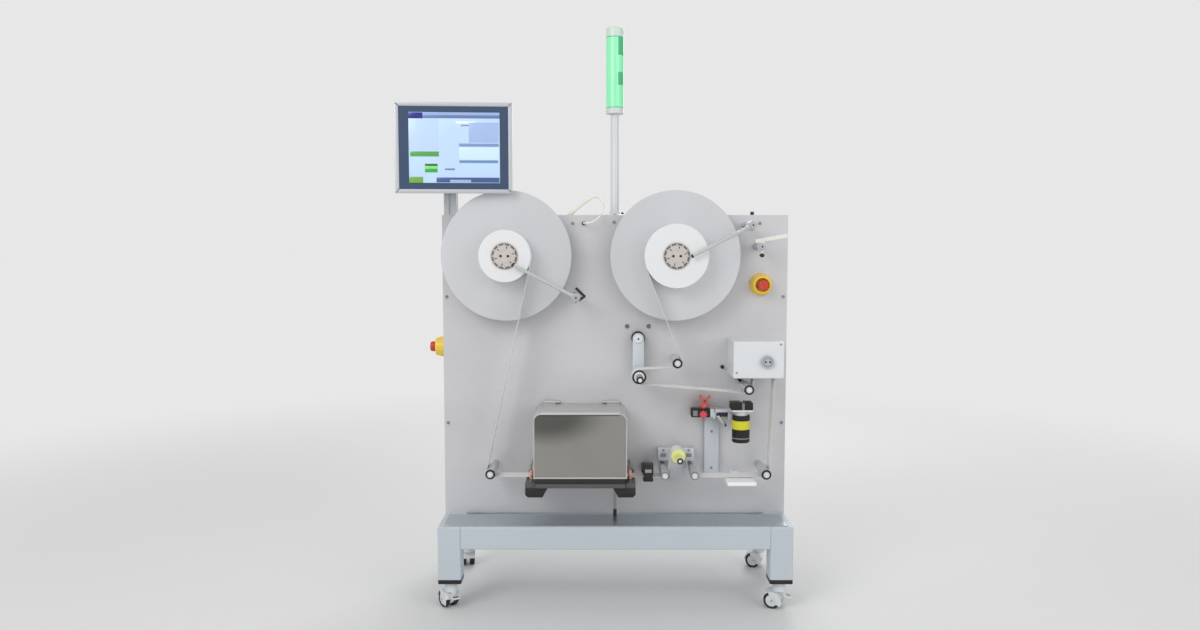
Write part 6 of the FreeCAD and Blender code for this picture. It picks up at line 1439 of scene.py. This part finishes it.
def row_tree():
    """Sets blocks out in a row."""
    tree, sockets, start = open_tree("blocks in a row", count="Int", first="Vector", step="Vector",
                                     block="Vector", finish="Material")
    line = new_node(tree, "GeometryNodeMeshLine", mode="OFFSET")
    feed(tree, line, {"Count": start["count"], "Start Location": start["first"], "Offset": start["step"]})
    shape = new_node(tree, "GeometryNodeMeshCube", {"Size": start["block"]})
    close_tree(tree, start, points=line, instance=shape)
    return tree, sockets


ROW = row_tree()


def row_of_blocks(count, first, pitch, size, made):
    """Blocks along X, a pitch apart."""
    return grown_part(ROW, count=count, first=first, step=(pitch, 0.0, 0.0), block=size, finish=made)


def rectangle(x0, x1, z0, z1, corner):
    points = []
    for x, z, first in ((x1 - corner, z1 - corner, 0), (x0 + corner, z1 - corner, 90),
                        (x0 + corner, z0 + corner, 180), (x1 - corner, z0 + corner, 270)):
        points += arc((x, z), corner, first, first + 90, 5)
    return points


post_metal = finish("post aluminium", (214, 217, 220), rough=0.30, metal=0.45, grain=700,
                    run=(1, 1, 0.04), shade=0.03)
bracket_grey = finish("grey bracket paint", (118, 124, 130), rough=0.42, grain=1500, shade=0.05)
panel_frame = finish("panel frame aluminium", (196, 199, 204), rough=0.30, metal=0.4, grain=800,
                     run=(0.05, 1, 1), shade=0.03)
panel_glass = finish("dark blue bezel", (56, 76, 104), rough=0.20, grain=1500, shade=0.05, relief=0.02)
housing_grey = finish("grey housing", (128, 134, 140), rough=0.45, grain=1600, shade=0.05)
screen_light = finish("lit screen", (190, 215, 243), rough=0.22, grain=1800, shade=0.015, relief=0.01,
                      cloud=0.10, cloud_size=9.0, glow=0.16)
dress("hmi_post", post_metal)
dress("hmi_bracket", bracket_grey)
at_rest = Matrix.Translation((*POST_AXIS, 0)) @ Matrix.Rotation(PANEL_TURN, 4, "Z")
at_rest = at_rest @ Matrix.Translation((-POST_AXIS[0], -POST_AXIS[1], 0))
bm = bmesh.new()
outer = rectangle(*PANEL_X, *PANEL_Z, 3.0)
inner = rectangle(PANEL_X[0] + PANEL_RIM, PANEL_X[1] - PANEL_RIM, PANEL_Z[0] + PANEL_RIM,
                  PANEL_Z[1] - PANEL_RIM, 2.0)
add(bm, framed(outer, inner, PANEL_FRONT, PANEL_BACK, 0.7), 0, at_rest)
add(bm, slab(inner, PANEL_FACE - 1.0, PANEL_BACK, 0), 1, at_rest)
add(bm, block(*HOUSING, 4.0), 2, at_rest)
for side in (-1, 1):
    x0, x1 = sorted(POST_AXIS[0] + side * ear for ear in EARS)
    y, z = TILT_AXIS
    add(bm, block((x0, HOUSING[1][1] - 1, z - 10), (x1, y + 10, z + 10), 1.5), 2, at_rest)
x = POST_AXIS[0]
add(bm, rod((x - TILT_PIN_HALF, y, z), (x + TILT_PIN_HALF, y, z), 5.0, 0.4), 3, at_rest)
# The housing's vent slots are dark blocks of painted shade.
for rise in VENT_ROWS:
    add(bm, row_of_blocks(VENT_COUNT, (*VENT_START, rise), VENT_PITCH, VENT, painted_recess_shade), 4, at_rest)
piece("panel_housing", bm, (panel_frame, panel_glass, housing_grey, bright_steel, painted_recess_shade), "hmi_panel",
      ("hmi_panel",))

bm = bmesh.new()
low = (SCREEN_X[0], PANEL_FACE - 1.3, SCREEN_Z[0])
high = (SCREEN_X[1], PANEL_FACE - 0.5, SCREEN_Z[1])
add(bm, block(low, high, 0.1), 0, at_rest)
field_finishes = [screen_light]
width = SCREEN_X[1] - SCREEN_X[0]
height = SCREEN_Z[1] - SCREEN_Z[0]
for number, (u0, v0, u1, v1, colour) in enumerate(FIELDS):
    field_finishes.append(finish(f"screen field {number}", colour, rough=0.22, grain=1800, shade=0.04,
                                 relief=0.01, glow=0.16))
    low = (SCREEN_X[0] + u0 * width, PANEL_FACE - 1.45 - 0.01 * number, SCREEN_Z[1] - v1 * height)
    high = (SCREEN_X[0] + u1 * width, PANEL_FACE - 0.9, SCREEN_Z[1] - v0 * height)
    add(bm, block(low, high, 0.02), number + 1, at_rest)
piece("panel_screen", bm, field_finishes, "hmi_panel", ("hmi_panel",))

# Light tower
# A pale tube on a round foot carries a long pale green lens between a base and a cap. The cream cable
# leaves the roof in a sleeve and loops over the faceplate's upper edge into its gland.

TOWER = (0.0, 60.0)
FOOT_RADIUS = 35.0
POLE_RADIUS = 13.5
POLE_TOP = 1525.0
LENS = (1543.0, 1762.0)
LENS_RADIUS = 27.0
LAMP_RADIUS = 28.0
FOOT_SCREWS = 28.0
FOOT_NUT = (24.0, 14.0)
SHINES = ((0.32, 0.50), (0.74, 0.99))
CABLE_CREAM = (234, 234, 219)

mast_white = finish("mast paint", (214, 218, 219), rough=0.34, grain=1600, shade=0.02)
cap_pale = finish("pale green cap", (205, 226, 215), rough=0.36, grain=1600, shade=0.03)
lens_green = finish("green lens", (152, 240, 190), rough=0.18, grain=600, run=(1, 1, 0.02), shade=0.06,
                    relief=0.15, cloud=0.04, glow=0.10, coat=0.3)
lens_shade = finish("lens edge", (74, 182, 130), rough=0.3, grain=900, shade=0.08, glow=0.03)
cable_cream = finish("cream cable", CABLE_CREAM, rough=0.5, grain=2200, shade=0.04)
x, y = TOWER
bm = bmesh.new()
foot = [(0, 0), (0, FOOT_RADIUS), (3.5, FOOT_RADIUS), (7.8, 20), (16, POLE_RADIUS + 2.5), (18, POLE_RADIUS)]
mast = foot + [(POLE_TOP - ROOF, POLE_RADIUS), (POLE_TOP - ROOF, LAMP_RADIUS), (LENS[0] - ROOF, LAMP_RADIUS),
               (LENS[0] - ROOF, 0)]
add(bm, turned((x, y, ROOF), (0, 0, 1), eased(mast, 1.0), around=64))
for step in range(3):
    angle = math.radians(30 + 120 * step)
    place = Vector((x + FOOT_SCREWS * math.cos(angle), y + FOOT_SCREWS * math.sin(angle), ROOF + 4.2))
    add(bm, rod(place, place + Vector((0, 0, 3.2)), 3.6, 0.8, 20), 1)
add(bm, rod_z((x + FOOT_NUT[0], y + FOOT_NUT[1]), ROOF + 5, ROOF + 13, 5.0, 1.0, 6), 3)
dome = [(0, 0), (0, LAMP_RADIUS), (24, LAMP_RADIUS), (28.5, LAMP_RADIUS - 1.8),
        (31, LAMP_RADIUS - 6), (31, 0)]
add(bm, turned((x, y, LENS[1]), (0, 0, 1), eased(dome, 0.8), around=64), 2)
piece("tower_pole_and_cap", bm, (mast_white, screw_steel, cap_pale, black_plastic), "machine",
      ("tower_mast",))

bm = bmesh.new()
tall = LENS[1] - LENS[0]
add(bm, rod_z((x, y), LENS[0], LENS[1], LENS_RADIUS, 0.6, 96))
for low in (LENS[0], LENS[1] - 2.0):
    add(bm, ring_z((x, y), low, low + 2.0, LENS_RADIUS - 1, LENS_RADIUS + 0.5, 0.3, 96), 1)
add(bm, ring_of_blocks(72, LENS_RADIUS - 0.1, (1.0, 0.9, tall - 4.0), lens_green), 0,
    Matrix.Translation((x, y, LENS[0] + tall / 2)))
edge = arc((x, -y), LENS_RADIUS + 0.8, 19, 69, 12) + arc((x, -y), LENS_RADIUS - 1, 69, 19, 12)
for low, high in SHINES:
    add(bm, slab(edge, LENS[0] + low * tall, LENS[0] + high * tall, 0.3), 1,
        Matrix.Rotation(math.pi / 2, 4, "X"))
piece("tower_green_lens", bm, (lens_green, lens_shade), "machine", ("tower_lens",))
dress("tower_cable", cable_cream)

# Drives
# Behind the faceplate each reel and the capstan has a right-sized gearbox with a finned motor, its end
# cover and its terminal box.

GEARBOX_HALF = 45.0
GEARBOX_Y = (12.0, 72.0)
MOTOR_RADIUS = 38.0
MOTOR_END = 182.0
DRIVES = ((184.0, 1081.0), (-334.0, 1081.0), (192.0, 471.0))

motor_paint = finish("motor paint", (84, 94, 104), rough=0.42, grain=1500, shade=0.06)
gearbox_metal = finish("cast gearbox", (158, 162, 166), rough=0.5, metal=0.4, grain=1100, shade=0.06,
                       relief=0.3)
bm = bmesh.new()
for x, z in DRIVES:
    add(bm, block((x - GEARBOX_HALF, GEARBOX_Y[0], z - GEARBOX_HALF),
                  (x + GEARBOX_HALF, GEARBOX_Y[1], z + GEARBOX_HALF), 3.0), 1)
    add(bm, rod_y((x, z), GEARBOX_Y[1] - 1, GEARBOX_Y[1] + 12, MOTOR_RADIUS, 1.5, 64), 1)
    add(bm, rod_y((x, z), GEARBOX_Y[1] + 10, MOTOR_END - 20, MOTOR_RADIUS - 5, 1.0, 64))
    fin = (6.0, 2.0, MOTOR_END - GEARBOX_Y[1] - 36)
    fins_middle = (x, (GEARBOX_Y[1] + 12 + MOTOR_END - 20) / 2, z)
    add(bm, ring_of_blocks(36, MOTOR_RADIUS - 3.2, fin, motor_paint), 0, standing(fins_middle, (0, 1, 0)))
    add(bm, rod_y((x, z), MOTOR_END - 22, MOTOR_END, MOTOR_RADIUS - 1, 4.0, 64), 2)
piece("finned_motors", bm, (motor_paint, gearbox_metal, black_plastic), "machine",
      ("drives",))

# Electrical panel
# A zinc-plated back plate on spacers carries a power supply, two controllers and a drive between slotted
# wiring ducts.

PLATE = ((-460.0, 26.0, 302.0), (-60.0, 29.0, 602.0))
DEVICE_FRONTS = (99.0, 124.0, 89.0, 139.0)
DEVICE_HALF = (39.0, 60.0)
COVER_HALF = (30.0, 36.0)
TERMINAL_RISE = 47.0
DUCTS = (334.0, 530.0)
DUCT_X = (-435.0, -85.0)
DUCT_HIGH = 40.0
DUCT_FRONT = 79.0
DUCT_SLOT = (3.0, 36.0, 0.5)
DUCT_SLOTS = 34
DUCT_PITCH = 10.0
DUCT_SLOT_Y = 55.0
TERMINAL = (5.0, 1.2, 8.0)

zinc_plate = finish("zinc plated sheet", (186, 188, 186), rough=0.35, metal=0.6, grain=500, shade=0.05)
device_grey = finish("device housing", (168, 172, 174), rough=0.5, grain=1700, shade=0.04)
device_dark = finish("dark device housing", (66, 70, 76), rough=0.5, grain=1700, shade=0.06)
duct_grey = finish("duct plastic", (176, 180, 182), rough=0.5, grain=1600, shade=0.03)
bm = bmesh.new()
low, high = PLATE
add(bm, block(low, high, 0.6))
for px in (low[0] + 15, high[0] - 15):
    for pz in (low[2] + 15, high[2] - 15):
        add(bm, rod_y((px, pz), 12, low[1] + 0.5, 6.0, 0.5), 4)
        add(bm, rod_y((px, pz), high[1] - 0.5, high[1] + 2.5, 5.0, 0.8, 24), 4)
middle = (low[2] + high[2]) / 2
pitch = (high[0] - low[0]) / len(DEVICE_FRONTS)
for number, front in enumerate(DEVICE_FRONTS):
    px = low[0] + pitch * (number + 0.5)
    shell = 1 if number % 2 else 2
    add(bm, block((px - DEVICE_HALF[0], high[1], middle - DEVICE_HALF[1]),
                  (px + DEVICE_HALF[0], front - 2, middle + DEVICE_HALF[1]), 2.0), shell)
    add(bm, block((px - COVER_HALF[0], front - 3, middle - COVER_HALF[1]),
                  (px + COVER_HALF[0], front, middle + COVER_HALF[1]), 0.8), 3 - shell)
    # The terminals' openings are dark blocks of painted shade.
    for rise in (middle + TERMINAL_RISE, middle - TERMINAL_RISE):
        add(bm, row_of_blocks(9, (px - COVER_HALF[0], front - 1.8, rise), 7.5, TERMINAL, painted_recess_shade), 3)
piece("panel_devices", bm, (zinc_plate, device_grey, device_dark, painted_recess_shade, screw_steel), "machine",
      ("electrical_panel",))

bm = bmesh.new()
for z in DUCTS:
    add(bm, block((DUCT_X[0], high[1], z), (DUCT_X[1], DUCT_FRONT - 2, z + DUCT_HIGH), 0.8))
    add(bm, block((DUCT_X[0], DUCT_FRONT - 2.2, z), (DUCT_X[1], DUCT_FRONT, z + DUCT_HIGH), 0.8))
    # The duct's slots are dark blocks of painted shade.
    for rise in (z, z + DUCT_HIGH):
        first = (DUCT_X[0] + DUCT_PITCH, DUCT_SLOT_Y, rise)
        add(bm, row_of_blocks(DUCT_SLOTS, first, DUCT_PITCH, DUCT_SLOT, painted_recess_shade), 1)
piece("wiring_ducts", bm, (duct_grey, painted_recess_shade), "machine", ("electrical_panel",))
